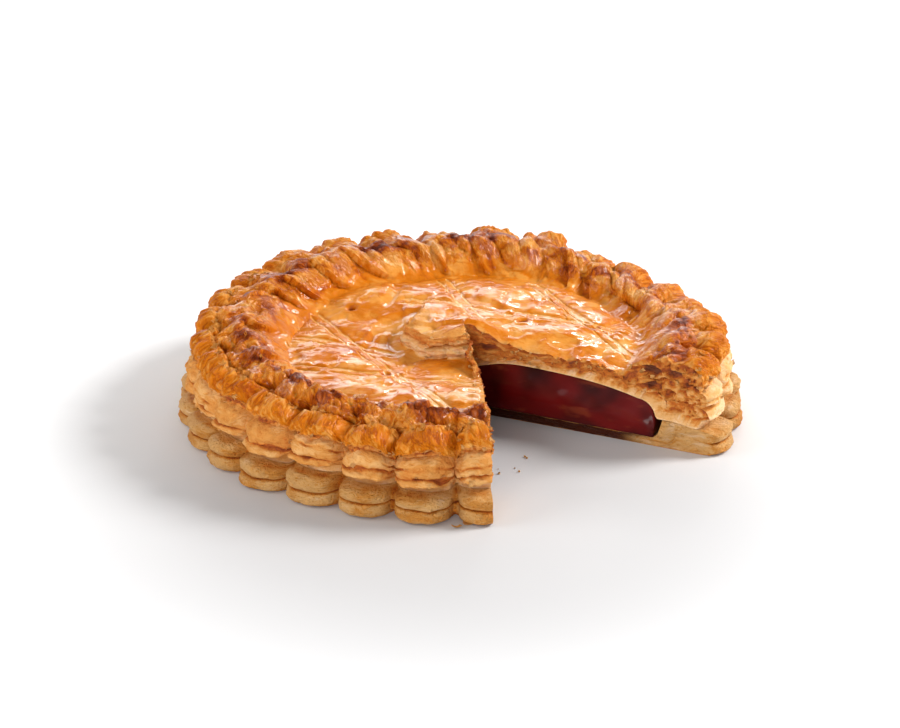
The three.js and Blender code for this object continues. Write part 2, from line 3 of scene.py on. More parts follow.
import bmesh
import bpy
import numpy as np
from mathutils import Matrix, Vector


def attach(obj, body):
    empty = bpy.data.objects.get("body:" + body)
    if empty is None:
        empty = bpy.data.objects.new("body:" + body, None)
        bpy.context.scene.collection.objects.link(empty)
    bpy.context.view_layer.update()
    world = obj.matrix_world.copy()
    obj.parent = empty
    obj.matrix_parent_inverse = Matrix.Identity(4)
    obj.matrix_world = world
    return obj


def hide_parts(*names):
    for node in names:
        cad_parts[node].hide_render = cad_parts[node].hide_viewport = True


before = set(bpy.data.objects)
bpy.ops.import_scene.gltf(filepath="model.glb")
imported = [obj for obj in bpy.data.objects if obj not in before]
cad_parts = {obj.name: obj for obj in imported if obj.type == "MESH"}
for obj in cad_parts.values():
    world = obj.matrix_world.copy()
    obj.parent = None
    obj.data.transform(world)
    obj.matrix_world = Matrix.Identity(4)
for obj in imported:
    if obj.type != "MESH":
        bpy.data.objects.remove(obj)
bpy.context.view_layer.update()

# ---- Base sheet --------------------------------------------------------------------------------
# The bottom round of puff pastry. It lies flat on the floor under the filling, and at the edge it has
# puffed into a ring of pads, one under each pinched lobe of the lid, each split by a brown seam.

# Sizes are in millimetres until Skin.piece and plain_object scale a mesh to metres.
OUTER_RADIUS = 130.0
LOBES, GROOVE_AT = 28, np.radians(88.6)
APEX = np.array([1.5, 1.5])
CUT_RIGHT, CUT_LEFT = np.radians(-25.8), np.radians(275.5)
CUT_BEND, CUT_BEND_AT, CUT_BEND_END = 4.6, 20, 128
SEAM_HEIGHT, SEAM_SPREAD = 13.2, 1.6
BASE_UNDER_FILLING = 4.0
FILLING_RADIUS, GAP = 97.0, 0.3
# The pads: how far their foot, seam and neck stand in from the outer radius, how far they bulge
# between these, and how deep the grooves between two pads are.
PAD_FOOT, PAD_SEAM, PAD_NECK, PAD_BULGE, PAD_GROOVE = 7.5, 3.2, 10.0, 0.2, 10.6
# Over some angles the rim stands further out, or higher, or its caps lie lower against its crest:
# angle and spread in degrees, out, up, cap.
SWELLS = [
    (128, 17, 2.6, 0.8, 0), (84, 24, 2, 2.2, 0), (34, 27, -4, -5.5, 0),
    (266, 40, 0, -1.8, 0), (250, 48, 0, 0, -3),
]
# The columns of the meshes stand closer together in the grooves, where the shape turns sharply.
COLUMNS, DENSER_IN_GROOVES = 800, 0.9
# What the materials are told of each place: how brown it is, with painted shade added to that value
# in creases, grooves, slits, pores and hollows; how glazed, cut open and soaked it is; and where on
# the rim it lies.
MARKS = ["bake", "glaze", "inside", "soak", "rim", "round", "out"]


def lerp(a, b, share):
    return a + (b - a) * share


def ease(x, low, high):
    """From 0 at low to 1 at high, smoothly."""
    share = np.clip((x - low) / (high - low), 0, 1)
    return share * share * (3 - 2 * share)


def hump(x):
    """A round hump: 1 at 0, about a third at 1 and almost nothing at 2."""
    return np.exp(-(x**2))


def chance(a, b):
    wave = np.sin(a * 127.1 + b * 311.7) * 43758.5453
    return wave - np.floor(wave)


def bumps(x, y, kind):
    """Smooth bumps from -1 to 1, about one unit apart; each kind is another pattern."""
    x, y = np.broadcast_arrays(np.asarray(x, float), np.asarray(y, float))
    i, j = np.floor(x), np.floor(y)
    s, t = ease(x - i, 0, 1), ease(y - j, 0, 1)
    at = lambda di, dj: chance(i + di + 57 * kind, j + dj)
    return 2 * lerp(lerp(at(0, 0), at(1, 0), s), lerp(at(0, 1), at(1, 1), s), t) - 1


def lumps(x, y, z, kind):
    """The same in three directions."""
    k = np.floor(z)
    low = bumps(x + 17.3 * k, y + 5.1 * k, kind)
    high = bumps(x + 17.3 * (k + 1), y + 5.1 * (k + 1), kind)
    return lerp(low, high, ease(z - k, 0, 1)) * 1.25


def rough(x, y, z, kind, finer=3):
    """Lumps with finer lumps on them."""
    total = 0
    for step in range(finer):
        turned = (x * 0.8 + y * 0.6 + 3.1 * step, y * 0.8 - x * 0.6 - 1.7 * step)
        total = total + lumps(turned[0], turned[1], z + 7.7 * step, kind + step) * 0.55**step
        x, y, z = turned[0] * 2.03, turned[1] * 2.03, z * 2.03
    return total


def creased(u, v, kind):
    """Rounded folds about two units wide with sharp creases between, from 0 in a crease to 1."""
    bend = 0.6 * bumps(u * 0.6 + 3.3, v * 0.6, kind + 0.5)
    return np.abs(bumps(u + bend, v - bend, kind)) ** 0.7


def round_angle(x, y):
    """The angle round the middle, from -60 degrees, in the cut, to 300."""
    turn = np.arctan2(y, x)
    return np.where(turn < np.radians(-60), turn + 2 * np.pi, turn)


class Lobe:
    """The lobe at each angle: its number, and across it from -1 in one groove to 1 in the next."""

    def __init__(self, angle):
        turns = (angle - GROOVE_AT) * LOBES / (2 * np.pi)
        count = lambda k: np.where(k > 7, k - LOBES, k)
        groove = lambda k: k + 0.14 * (chance(count(k), 1) - 0.5)
        number = np.floor(turns)
        number = np.where(turns < groove(number), number - 1, number)
        number = np.where(turns >= groove(number + 1), number + 1, number)
        self.across = 2 * (turns - groove(number)) / (groove(number + 1) - groove(number)) - 1
        self.number = count(number)
        self.next = count(number + np.sign(self.across))

    def value(self, kind):
        """A value from -1 to 1 of each lobe's own, which changes over in the groove."""
        own, other = 2 * chance(self.number, kind) - 1, 2 * chance(self.next, kind) - 1
        return lerp(own, other, ease(np.abs(self.across), 0.8, 1) / 2)

    def pinch(self, depth, square=2.5, floor=0.95):
        """How far the edge stands back for a groove of this depth, whose floor begins at `floor`."""
        across = np.minimum(1, np.abs(self.across) / floor)
        return depth * (1 - np.maximum(0, 1 - across**square) ** (1 / 2.1))


class Rays:
    """Straight lines from the cut's corner to the round outline, one column of a mesh each. `round`
    is where each ends on the outline, `run` the same in millimetres round the rim."""

    def __init__(self, angle):
        self.angle = angle
        self.dx, self.dy = np.cos(angle), np.sin(angle)
        along = APEX[0] * self.dx + APEX[1] * self.dy
        self.length = np.sqrt(along**2 + OUTER_RADIUS**2 - APEX @ APEX) - along
        self.round = round_angle(APEX[0] + self.length * self.dx, APEX[1] + self.length * self.dy)
        self.run = self.round * 115
        self.lobe = Lobe(self.round)
        self.bend = CUT_BEND * ease(angle, CUT_LEFT - np.radians(60), CUT_LEFT)
        off = [np.angle(np.exp(1j * (self.round - np.radians(swell[0])))) for swell in SWELLS]
        fade = [hump(o / np.radians(swell[1])) for o, swell in zip(off, SWELLS)]
        self.out, self.up, self.cap = (
            sum(f * s[k] for f, s in zip(fade, SWELLS)) for k in (2, 3, 4)
        )
        self.seam = SEAM_HEIGHT + SEAM_SPREAD * self.lobe.value(10)

    def along(self, radius):
        """How far along each ray the ring of this radius lies."""
        return radius / OUTER_RADIUS * self.length

    def place(self, radius, height):
        along = self.along(radius)
        past_bend = ease(along, CUT_BEND_AT, CUT_BEND_END)
        aside = self.bend * ease(along, 2, CUT_BEND_AT) * (1 - past_bend)
        x = APEX[0] + along * self.dx - aside * self.dy
        y = APEX[1] + along * self.dy + aside * self.dx
        return np.stack(np.broadcast_arrays(x, y, height), axis=-1)


def spread_rays():
    fine = np.linspace(CUT_RIGHT, CUT_LEFT, 40001)
    weight = np.cumsum(1 + DENSER_IN_GROOVES * np.abs(Rays(fine).lobe.across) ** 9)
    return Rays(np.interp(np.linspace(weight[0], weight[-1], COLUMNS + 1), weight, fine))


rays = spread_rays()


def in_scene(name, data):
    made = bpy.data.objects.new(name, data)
    bpy.context.scene.collection.objects.link(made)
    return made


class Skin:
    """A closed piece of the cake: rings round it from cut to cut, and a grid over each cut face."""

    def __init__(self):
        self.points, self.faces, self.count = [], [], 0
        self.marks = {kind: [] for kind in MARKS}

    def add(self, points, marks):
        points = np.asarray(points).reshape(-1, 3)
        self.points.append(points)
        for kind, found in self.marks.items():
            found.append(np.broadcast_to(marks.get(kind, 0), (len(points),)).astype(float))
        self.count += len(points)
        return np.arange(self.count - len(points), self.count)

    def ring(self, points, marks, row, step):
        """One row of a grid, with every step-th of its columns."""
        columns = np.arange(0, COLUMNS + 1, step)
        size = points.shape[:2]
        picked = {k: np.broadcast_to(found, size)[row][columns] for k, found in marks.items()}
        return columns, self.add(points[row][columns], picked)

    def join(self, a, b):
        """Faces between two rings, also where one has more columns than the other."""
        if len(a[1]) == len(b[1]):
            self.quads(a[1][:-1], a[1][1:], b[1][1:], b[1][:-1])
            return
        i = j = 0
        found = []
        while i < len(a[1]) - 1 or j < len(b[1]) - 1:
            next_a = a[0][i + 1] if i < len(a[1]) - 1 else np.inf
            next_b = b[0][j + 1] if j < len(b[1]) - 1 else np.inf
            if next_a < next_b:
                found.append((a[1][i], a[1][i + 1], b[1][j]))
                i += 1
            else:
                found.append((a[1][i], b[1][j + 1], b[1][j]))
                j += 1
        self.faces.append(np.array(found))

    def quads(self, p, q, r, s):
        """Each four corners become two triangles, along the shorter diagonal."""
        at = np.concatenate(self.points)
        p, q, r, s = (np.ravel(v) for v in (p, q, r, s))
        short = np.linalg.norm(at[p] - at[r], axis=1) <= np.linalg.norm(at[q] - at[s], axis=1)
        first = np.where(short[:, None], np.stack([p, q, r], 1), np.stack([p, q, s], 1))
        second = np.where(short[:, None], np.stack([p, r, s], 1), np.stack([q, r, s], 1))
        self.faces += [first, second]

    def cut_face(self, rings, sides, corner, end, relief):
        """The grid between the edges of one cut; relief gives each place's push and marks."""
        every = np.concatenate(self.points)
        pick = -1 if end else 0
        top, bottom = [np.array([ring[1][pick] for ring in part]) for part in rings]
        side = np.array([ring[1][pick] for ring in sides])
        up, low, out, tip = every[top], every[bottom], every[side], every[corner]
        u = np.linalg.norm(up - up[0], axis=1)
        u = (u / u[-1])[:, None, None]
        v = np.linspace(0, 1, len(side))[None, :, None]
        flat = lerp(low[:, None], up[:, None], v) + lerp(tip[None], out[None], u)
        flat -= lerp(lerp(low[0], low[-1], u), lerp(up[0], up[-1], u), v)
        inside = flat[1:-1, 1:-1]
        roof, floor = up[1:-1, None, 2], low[1:-1, None, 2]
        along = np.hypot(inside[..., 0] - APEX[0], inside[..., 1] - APEX[1])
        push, marks = relief(along, inside[..., 2], roof, floor, end)
        push = push * (1 if end else -1)
        aside = np.stack([-rays.dy[pick] * push, rays.dx[pick] * push, 0 * push], axis=-1)
        marks = {kind: np.broadcast_to(m, along.shape).ravel() for kind, m in marks.items()}
        grid = np.zeros((len(top), len(side)), int)
        grid[1:-1, 1:-1] = self.add(inside + aside, marks).reshape(inside.shape[:2])
        grid[0], grid[-1], grid[:, 0], grid[:, -1] = corner, side, bottom, top
        a, b, c, d = grid[:-1, :-1], grid[1:, :-1], grid[1:, 1:], grid[:-1, 1:]
        self.quads(*((a, d, c, b) if end else (a, b, c, d)))

    def build(self, top, bottom, side, steps, relief, marks):
        """Rings of the top and bottom run from the corner outwards, those of the side upwards."""
        middle = {kind: np.ravel(found)[0] for kind, found in marks[0].items()}
        tops = [(np.array([0]), self.add(top[0][0], middle))]
        bottoms = [(np.array([0]), self.add(bottom[0][0], {}))]
        for row in range(1, len(top)):
            tops.append(self.ring(top, marks[0], row, steps[0][row]))
            bottoms.append(self.ring(bottom, marks[1], row, steps[1][row]))
        rows = [self.ring(side, marks[2], row, 1) for row in range(len(side))]
        sides = [bottoms[-1], *rows, tops[-1]]
        loop = [*tops, *rows[::-1], *bottoms[::-1]]
        for inner, outer in zip(loop[:-1], loop[1:]):
            self.join(outer, inner)
        shares = np.linspace(0, 1, len(sides))[1:-1, None]
        upright = self.add(lerp(bottom[0][0], top[0][0], shares), {"inside": 1, "bake": 0.1})
        corner = np.concatenate([bottoms[0][1], upright, tops[0][1]])
        for end in (0, 1):
            self.cut_face((tops, bottoms), sides, corner, end, relief)

    def piece(self, name, material, node):
        """The Blender object, in metres, with its marks kept for the material to read."""
        at, faces = np.concatenate(self.points) / 1000, np.concatenate(self.faces)
        corners = at[faces]
        volume = np.einsum("ij,ij->i", corners[:, 0], np.cross(corners[:, 1], corners[:, 2])).sum()
        faces = faces if volume > 0 else faces[:, ::-1]
        mesh = bpy.data.meshes.new(name)
        mesh.vertices.add(len(at))
        mesh.vertices.foreach_set("co", at.ravel())
        mesh.loops.add(faces.size)
        mesh.loops.foreach_set("vertex_index", faces.ravel().astype(np.int32))
        mesh.polygons.add(len(faces))
        mesh.polygons.foreach_set("loop_start", np.arange(0, faces.size, 3, dtype=np.int32))
        for kind, found in self.marks.items():
            kept = mesh.attributes.new(kind, "FLOAT", "POINT")
            kept.data.foreach_set("value", np.concatenate(found))
        mesh.update(calc_edges=True)
        mesh.validate()
        mesh.shade_smooth()
        mesh.set_sharp_from_angle(angle=np.radians(62))
        mesh.materials.append(material)
        made = in_scene(name, mesh)
        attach(made, "root")
        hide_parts(node)
        print(name, len(faces), "triangles")
        return made


def everywhere(**marks):
    """Marks that are the same all over one side of a piece."""
    return {kind: np.full((1, 1), value) for kind, value in marks.items()}


def layer(share, low, high, bulge, square=2.6):
    """How far one puffed layer stands out, from the crease below it to the crease above."""
    crease = lerp(low, high, share)
    round_side = np.maximum(0, 1 - np.abs(2 * share - 1) ** square) ** (1 / 2.2)
    return crease + (bulge - crease) * round_side


def toward_ends(count):
    """Shares from 0 to 1 that lie closer together near both ends."""
    even = np.linspace(0, 1, count)
    return lerp(even, 0.5 - 0.5 * np.cos(np.pi * even), 0.6)[:, None]


def pad_side():
    """Rows up the pads: the lower half, the seam at half height, and the upper half."""
    lobe, run = rays.lobe, rays.round * 125
    seam = 0.5 + 0.05 * lobe.value(31) + 0.04 * lobe.value(32) * lobe.across
    seam = seam + 0.02 * bumps(run / 4, 0, 33)
    lower, upper = toward_ends(14)[1:], toward_ends(14)[1:-1]
    share = np.concatenate([lower * seam, lerp(seam, 1, upper)])
    out = np.concatenate([
        layer(lower, -PAD_FOOT, -PAD_SEAM, PAD_BULGE, 3),
        layer(upper, -PAD_SEAM, -PAD_NECK, -PAD_BULGE, 3.0),
    ])
    relief = 0.7 * bumps(run / 9, share * 3, 34) + 0.8 * (creased(run / 5, share * 5, 35) - 0.4)
    relief += 0.4 * bumps(run / 1.8, share * 11, 36)
    pinched = lobe.pinch(1.0, 2.3, 0.90) * (PAD_GROOVE - 1.5 * np.abs(2 * share - 1) ** 3)
    out = out + 0.8 * lobe.value(30) + relief * np.minimum(1, 14 * share) - pinched
    return OUTER_RADIUS + out, share, seam


def pad_browning_and_shade(radius, share, seam):
    """Toasted where the pads stand proud and at the floor, and brown in the seam; painted shade in
    the grooves between pads and where a pad turns back in, at the floor and under the lid.
    """
    lobe, run = rays.lobe, rays.round * 125
    proud = (radius - OUTER_RADIUS + lobe.pinch(9.4, 2.3, 0.90) + 3) / 3
    toast_and_shade = 0.22 + 0.04 * np.maximum(0, proud) + 0.36 * hump((share - seam) / 0.04)
    toast_and_shade += 0.14 * bumps(run / 7, share * 3, 45) + 0.25 * ease(share, 0.14, 0.0)
    # Painted shade: darker where the pad turns back in, at the floor and into the slit under the lid,
    # and in the grooves between pads.
    return toast_and_shade + 0.8 * ease(proud, 0.0, -2.5) + 0.3 * np.abs(lobe.across) ** 8


def base_cut(along, height, roof, floor, end):
    """The cut sheet: thin leaves, dark and soft where the filling's juice has soaked it."""
    bent = 0.5 * bumps(along / 5, height / 3, 41)
    leaves = bumps(along / 7 + 9 * end, height / 0.9 + bent, 42)
    push = 0.5 * leaves + 0.5 * rough(along / 4, height / 2, 0 * along, 43) - 0.3
    soak = 1 - ease(along + 4 * bumps(along / 6, height / 2, 44), 78, 96)
    marks = {"inside": 1.0, "bake": 0.22 + 0.16 * leaves, "soak": soak}
    return push * ease(along, 0, 6), marks


def base_piece(material):
    radius, share, seam = pad_side()
    grooves = np.abs(rays.lobe.across) ** 4
    arch = grooves * (1.8 * (1 - share) ** 2 - 1.6 * share**2)
    side = rays.place(radius, share * rays.seam + arch * ease(share, 0, 0.08))
    flow = (np.linspace(0, 1, 46) ** 0.8)[:, None]
    to_pads = ease(flow, 0.86, 1)
    top_radius = flow * (OUTER_RADIUS - PAD_NECK - rays.lobe.pinch(8.0) * to_pads)
    rise = ease(top_radius, FILLING_RADIUS + GAP, 100)
    neck = lerp(SEAM_HEIGHT, rays.seam, ease(flow, 0.9, 1))
    top = rays.place(top_radius, lerp(BASE_UNDER_FILLING, neck, rise))
    bottom_radius = flow * (OUTER_RADIUS - PAD_FOOT - rays.lobe.pinch(7.0) * to_pads)
    steps = [[16] * 40 + [8, 4, 2, 1, 1, 1]] * 2
    marks = [everywhere(bake=0.25), everywhere(bake=0.5), {"bake": pad_browning_and_shade(radius, share, seam)}]
    skin = Skin()
    skin.build(top, rays.place(bottom_radius, 0 * flow), side, steps, base_cut, marks)
    return skin.piece("base_sheet", material, "base")


class Wire:
    """A value that changes over a surface. Sums and products of it are Math nodes in its tree."""

    def __init__(self, socket):
        self.socket, self.tree = socket, socket.id_data

    def to(self, socket):
        self.tree.links.new(self.socket, socket)

    def __add__(self, other):
        return maths("ADD", self, other)

    def __sub__(self, other):
        return maths("SUBTRACT", self, other)

    def __rsub__(self, other):
        return maths("SUBTRACT", other, self)

    def __mul__(self, other):
        return maths("MULTIPLY", self, other)

    def __abs__(self):
        return maths("ABSOLUTE", self)

    __radd__, __rmul__ = __add__, __mul__


def put(tree, kind, wired=(), output=0, **settings):
    """A new node: its plain settings, its sockets by name or number, and the output used."""
    made = tree.nodes.new(kind)
    for key, value in settings.items():
        setattr(made, key, value)
    for socket, value in dict(wired).items():
        if isinstance(value, Wire):
            value.to(made.inputs[socket])
        else:
            made.inputs[socket].default_value = value
    return made if output is None else Wire(made.outputs[output])


def wires(node):
    """All that a node gives, by name."""
    return {socket.name: Wire(socket) for socket in node.outputs}


def maths(operation, *values, clamp=False):
    tree = next(value.tree for value in values if isinstance(value, Wire))
    wired = enumerate(values)
    return put(tree, "ShaderNodeMath", wired, operation=operation, use_clamp=clamp)


def between(value, low, high, to_low=0.0, to_high=1.0):
    """From one value to another as the first goes from low to high, smoothly."""
    wired = {"Value": value, "From Min": low, "From Max": high, "To Min": to_low, "To Max": to_high}
    return put(value.tree, "ShaderNodeMapRange", wired, interpolation_type="SMOOTHSTEP")


def mark(tree, kind):
    names = {"attribute_name": kind, "attribute_type": "GEOMETRY"}
    return put(tree, "ShaderNodeAttribute", output="Fac", **names)


def spot_on(tree):
    """Where a place is, in the object's own metres."""
    return put(tree, "ShaderNodeTexCoord", output="Object")


def apart(vector):
    made = put(vector.tree, "ShaderNodeSeparateXYZ", {"Vector": vector}, output=None)
    return wires(made).values()


def together(tree, x, y, z=0.0):
    return put(tree, "ShaderNodeCombineXYZ", {"X": x, "Y": y, "Z": z})


def noise(at, size, detail=3.0, stretch=(1, 1, 1), **more):
    """Noise whose lumps are about this many millimetres across, drawn out by the stretch."""
    scale = [1000 / size / s for s in stretch]
    scaled = put(at.tree, "ShaderNodeMapping", {"Vector": at, "Scale": scale})
    wired = {"Vector": scaled, "Scale": 1.0, "Detail": detail, **more}
    return put(at.tree, "ShaderNodeTexNoise", wired, output="Fac")


def bump(height, strength, distance):
    wired = {"Height": height, "Strength": strength, "Distance": distance}
    return put(height.tree, "ShaderNodeBump", wired)


def group(name, takes, gives):
    """An empty node group with named inputs (name, kind, value) and outputs (name, kind)."""
    tree = bpy.data.node_groups.new(name, "ShaderNodeTree")
    for label, kind, value in takes:
        socket = tree.interface.new_socket(label, in_out="INPUT", socket_type="NodeSocket" + kind)
        socket.default_value = value
    for label, kind in gives:
        tree.interface.new_socket(label, in_out="OUTPUT", socket_type="NodeSocket" + kind)
    given = wires(tree.nodes.new("NodeGroupInput"))
    return tree, given, tree.nodes.new("NodeGroupOutput").inputs


# How long a place has baked, with painted shade added, and its colour then: raw dough, cream, gold,
# amber, orange brown, brown, dark brown.
BAKE_AND_SHADE_COLOURS = [
    (0.0, (0.93, 0.60, 0.32)),
    (0.16, (0.84, 0.45, 0.15)),
    (0.34, (0.72, 0.285, 0.045)),
    (0.50, (0.60, 0.160, 0.004)),
    (0.66, (0.42, 0.080, 0.002)),
    (0.82, (0.24, 0.036, 0.002)),
    (1.0, (0.12, 0.016, 0.002)),
]
SOAKED_DOUGH = (0.055, 0.004, 0.002, 1)


def browning_and_shade():
    """From how long a place has baked, with painted shade added, to its colour, uneven in broad and
    small patches.
    """
    takes = [("Bake", "Float", 0.4), ("Mottle", "Float", 1.0)]
    tree, given, gives = group("browning_and_shade", takes, [("Color", "Color")])
    at = spot_on(tree)
    uneven = 0.30 * (noise(at, 14, 2) - 0.5) + 0.26 * (noise(at, 2.4, 4, Roughness=0.6) - 0.5)
    bake = given["Bake"] + uneven * given["Mottle"]
    ramp = put(tree, "ShaderNodeValToRGB", {"Fac": bake}, output=None)
    line = ramp.color_ramp
    line.interpolation = "EASE"
    while len(line.elements) < len(BAKE_AND_SHADE_COLOURS):
        line.elements.new(0.5)
    for element, (spot, colour) in zip(line.elements, BAKE_AND_SHADE_COLOURS):
        element.position, element.color = spot, (*colour, 1)
    Wire(ramp.outputs["Color"]).to(gives["Color"])
    return tree


def leaves_of_dough():
    """The edges of the thin leaves that puff pastry is made of, drawn out, and its pores."""
    outputs = [("Height", "Float"), ("Line", "Float"), ("Pore", "Float")]
    tree, _, gives = group("leaves_of_dough", [], outputs)
    at = spot_on(tree)
    x, y, z = apart(at)
    stacked = together(tree, x, y, z + 0.010 * noise(at, 9, 2))
    fine = noise(stacked, 1.0, 3, stretch=(6, 6, 0.8))
    grit = noise(at, 1.5, 4, Roughness=0.7)
    (fine + 1.6 * grit).to(gives["Height"])
    between(fine, 0.42, 0.60).to(gives["Line"])
    between(grit, 0.44, 0.34).to(gives["Pore"])
    return tree


BROWNING_AND_SHADE, LEAVES = browning_and_shade(), leaves_of_dough()


def use(tree, shared, wired=()):
    """A shared group in this tree: its outputs by name."""
    return wires(put(tree, "ShaderNodeGroup", wired, output=None, node_tree=shared))


def blend_colour(share, first, second):
    wired = {0: share, 6: first, 7: second}
    return put(share.tree, "ShaderNodeMix", wired, output=2, data_type="RGBA")


def surface(name, **fixed):
    """A material with its Principled shader, whose plain values are set on its own sockets."""
    made = bpy.data.materials.new(name)
    made.use_nodes = True
    shader = made.node_tree.nodes["Principled BSDF"]
    for socket, value in fixed.items():
        shader.inputs[socket.replace("_", " ")].default_value = value
    return made, made.node_tree, shader.inputs


def dry_pastry():
    """Baked pastry without glaze: matt, leafy, toasted where it stands proud."""
    material, tree, sockets = surface("dry_pastry", Specular_IOR_Level=0.3)
    leaves = use(tree, LEAVES)
    # Painted shade: the pores are darker.
    bake = mark(tree, "bake") - 0.08 * leaves["Line"] + 0.14 * leaves["Pore"]
    brown = use(tree, BROWNING_AND_SHADE, {"Bake": bake, "Mottle": 0.45})["Color"]
    juice = 0.97 * mark(tree, "soak")
    blend_colour(juice, brown, SOAKED_DOUGH).to(sockets["Base Color"])
    between(juice, 0, 1, 0.72, 0.3).to(sockets["Roughness"])
    bump(leaves["Height"], 1.0, 0.0019).to(sockets["Normal"])
    return material


DRY_PASTRY = dry_pastry()
base_piece(DRY_PASTRY)


# ---- Filling -----------------------------------------------------------------------------------
# Plum and apple cooked to a dark, thick jelly. It has sunk out of the cut a little, with a rounded
# foot on the base sheet, and lighter bits of fruit show in it.

FILLING_SHOULDER, FILLING_EDGE_HEIGHT, FILLING_TOP = 88.0, 22.0, 27.6
FILLING_FOOT_INSET = 2.5
STEP_SINK = 9.5
TOUCHING = 0.05
DEEP_JELLY, CLEAR_JELLY = (0.030, 0.0007, 0.0006, 1), (0.12, 0.0015, 0.0012, 1)
FRUIT_SHRED = (0.20, 0.030, 0.008, 1)


def pits(x, y, kind, keep=1.0):
    """How far each place is from the nearest of scattered points, about one unit apart."""
    i, j = np.floor(x), np.floor(y)
    nearest = np.full(np.shape(x), 9.0)
    for di in (-1, 0, 1):
        for dj in (-1, 0, 1):
            a, b = i + di + 31 * kind, j + dj
            off = np.hypot(i + di + chance(a, b) - x, j + dj + chance(b, a + 0.5) - y)
            nearest = np.minimum(nearest, np.where(chance(a + 0.3, b + 0.7) < keep, off, 9.0))
    return nearest


def under_height(radius):
    """The underside of the lid over the filling."""
    along = rays.along(radius)
    tip = 5.5 * hump(along / 15)
    drop = (FILLING_TOP - FILLING_EDGE_HEIGHT) * (radius / FILLING_SHOULDER) ** 4
    sunk = 0.6 * STEP_SINK * ease(rays.angle, np.radians(120), np.radians(200))
    inner = FILLING_TOP - drop - np.maximum(tip, sunk * hump(along / 55))
    out = (radius - FILLING_SHOULDER) / (FILLING_RADIUS - FILLING_SHOULDER)
    outer = lerp(SEAM_HEIGHT, FILLING_EDGE_HEIGHT, np.sqrt(np.clip(1 - out * out, 0, 1)))
    return np.where(radius < FILLING_SHOULDER, inner, outer)


def filling_cut(along, height, roof, floor, end):
    """The cut jelly bulges in the middle and hangs back under the lid, with bits of fruit in it."""
    up = np.clip((height - floor) / (roof - floor), 0, 1)
    belly = np.sin(np.pi * np.clip(up * 0.86 + 0.10, 0, 1)) ** 0.8
    soft = 0.6 * bumps(along / 15 + 13 * end, height / 9, 7) + 0.25 * bumps(along / 5, height / 4, 51)
    push = (2.0 + soft) * belly - 3.2 * ease(up, 0.35, 0.95)
    push = push * ease(along, 0, 12) * (1 - ease(along, 92, FILLING_RADIUS))
    bits = hump(pits(along / 9 + 3 * end, height / 7, 52, 0.45) / 0.34)
    return push + 0.15 * bits * belly, {"inside": 1.0, "bake": bits}


def filling_piece(material):
    rings, edge = 70, FILLING_RADIUS - GAP
    flow = np.linspace(0, 1, rings)[:, None] ** 0.9
    top = rays.place(flow * edge, under_height(flow * FILLING_RADIUS) - TOUCHING)
    foot = BASE_UNDER_FILLING + TOUCHING
    bottom = rays.place(flow * (FILLING_RADIUS - FILLING_FOOT_INSET), foot + 0 * flow)
    share = np.linspace(0, 1, 32)[1:-1, None]
    side = rays.place(edge - 0.8 * (1 - share), lerp(foot, SEAM_HEIGHT - GAP, share))
    skin = Skin()
    skin.build(top, bottom, side, [[16] * rings] * 2, filling_cut, [everywhere(bake=0.0)] * 3)
    return skin.piece("filling_jelly", material, "filling")


def plum_jelly():
    """Dark red jelly with clearer clouds and paler shreds of fruit, moist but not mirror bright."""
    gloss = {"Specular_IOR_Level": 0.12, "Roughness": 0.5, "Coat_Weight": 0.2, "Coat_Roughness": 0.1}
    material, tree, sockets = surface("plum_jelly", **gloss)
    at = spot_on(tree)
    cloud = between(noise(at, 27, 2), 0.42, 0.66)
    shreds = between(noise(at, 7, 4, stretch=(2.2, 1.4, 0.6)), 0.56, 0.74)
    jelly = blend_colour(cloud, DEEP_JELLY, CLEAR_JELLY)
    blend_colour(0.55 * shreds, jelly, FRUIT_SHRED).to(sockets["Base Color"])
    bump(noise(at, 13, 1), 0.35, 0.0012).to(sockets["Normal"])
    return material


filling_piece(plum_jelly())


# ---- Lid ---------------------------------------------------------------------------------------
# The top sheet of puff pastry, laid over the filling and pinched to the base all along the edge. It
# was glazed with egg and marked with a blade in pairs of lines, and its rim has puffed the highest.

DOME_TOP, TIP_RISE = 37.5, 4.0
VALLEY_HEIGHT, VALLEY_RADIUS = 33.8, 81.0
CREST_HEIGHT, CREST_RADIUS = 45.0, 100.0
CREASE_RADIUS, CREASE_DEPTH = 106.5, 2.2
RIM_SHOULDER, GROOVE_NOTCH, ROLL_HEIGHT = 116.0, 7.0, 3.0
SIDE_TAPER, LIP, PILLOW, SAG = 9.0, 2.6, 1.4, 2.6
RIM_FACES = np.radians(248)  # towards the camera
# The broken line near the middle, where the pastry in front has sunk, and how far in front it rises
# again; half the width of the broken wall; and the radius of its rows where there is no step.
STEP_LINE = [(-8, 54), (-15, 40), (-20, 22), (-26, 9), (-21, 0), (-14.5, -8.7), (12, -8.7)]
STEP_REACH, STEP_LEAN, STEP_FREE_RADIUS = 46.0, 0.8, 53.0
# Rings of the top from the middle outwards: on the dome, in the wall, past it, in the valley, on
# the rim.
DOME_ROWS, WALL_ROWS, PAST_ROWS, VALLEY_ROWS, RIM_ROWS = 29, 20, 40, 15, 39
WALL = slice(DOME_ROWS, DOME_ROWS + WALL_ROWS)
# Pairs of blade lines: the angle they run at, how far from the middle they pass, where they begin and
# end along themselves, counted from the point nearest to the middle; and the air holes.
SCORES = [
    (-75.0, 11.5, -76, -11),
    (-63.7, 61, -46, 50),
    (-61.3, -41, -66, 64),
    (-18.7, 35, -40, 70),
    (-17.0, -12, -76, -29),
    (-12.0, -40, -70, 20),
]
SCORE_PAIR = 4.4
AIR_HOLES = [(-50.5, 41), (-34, -30), (29, 17)]
GRAIN = np.radians(17)  # the dome's pillows run this way
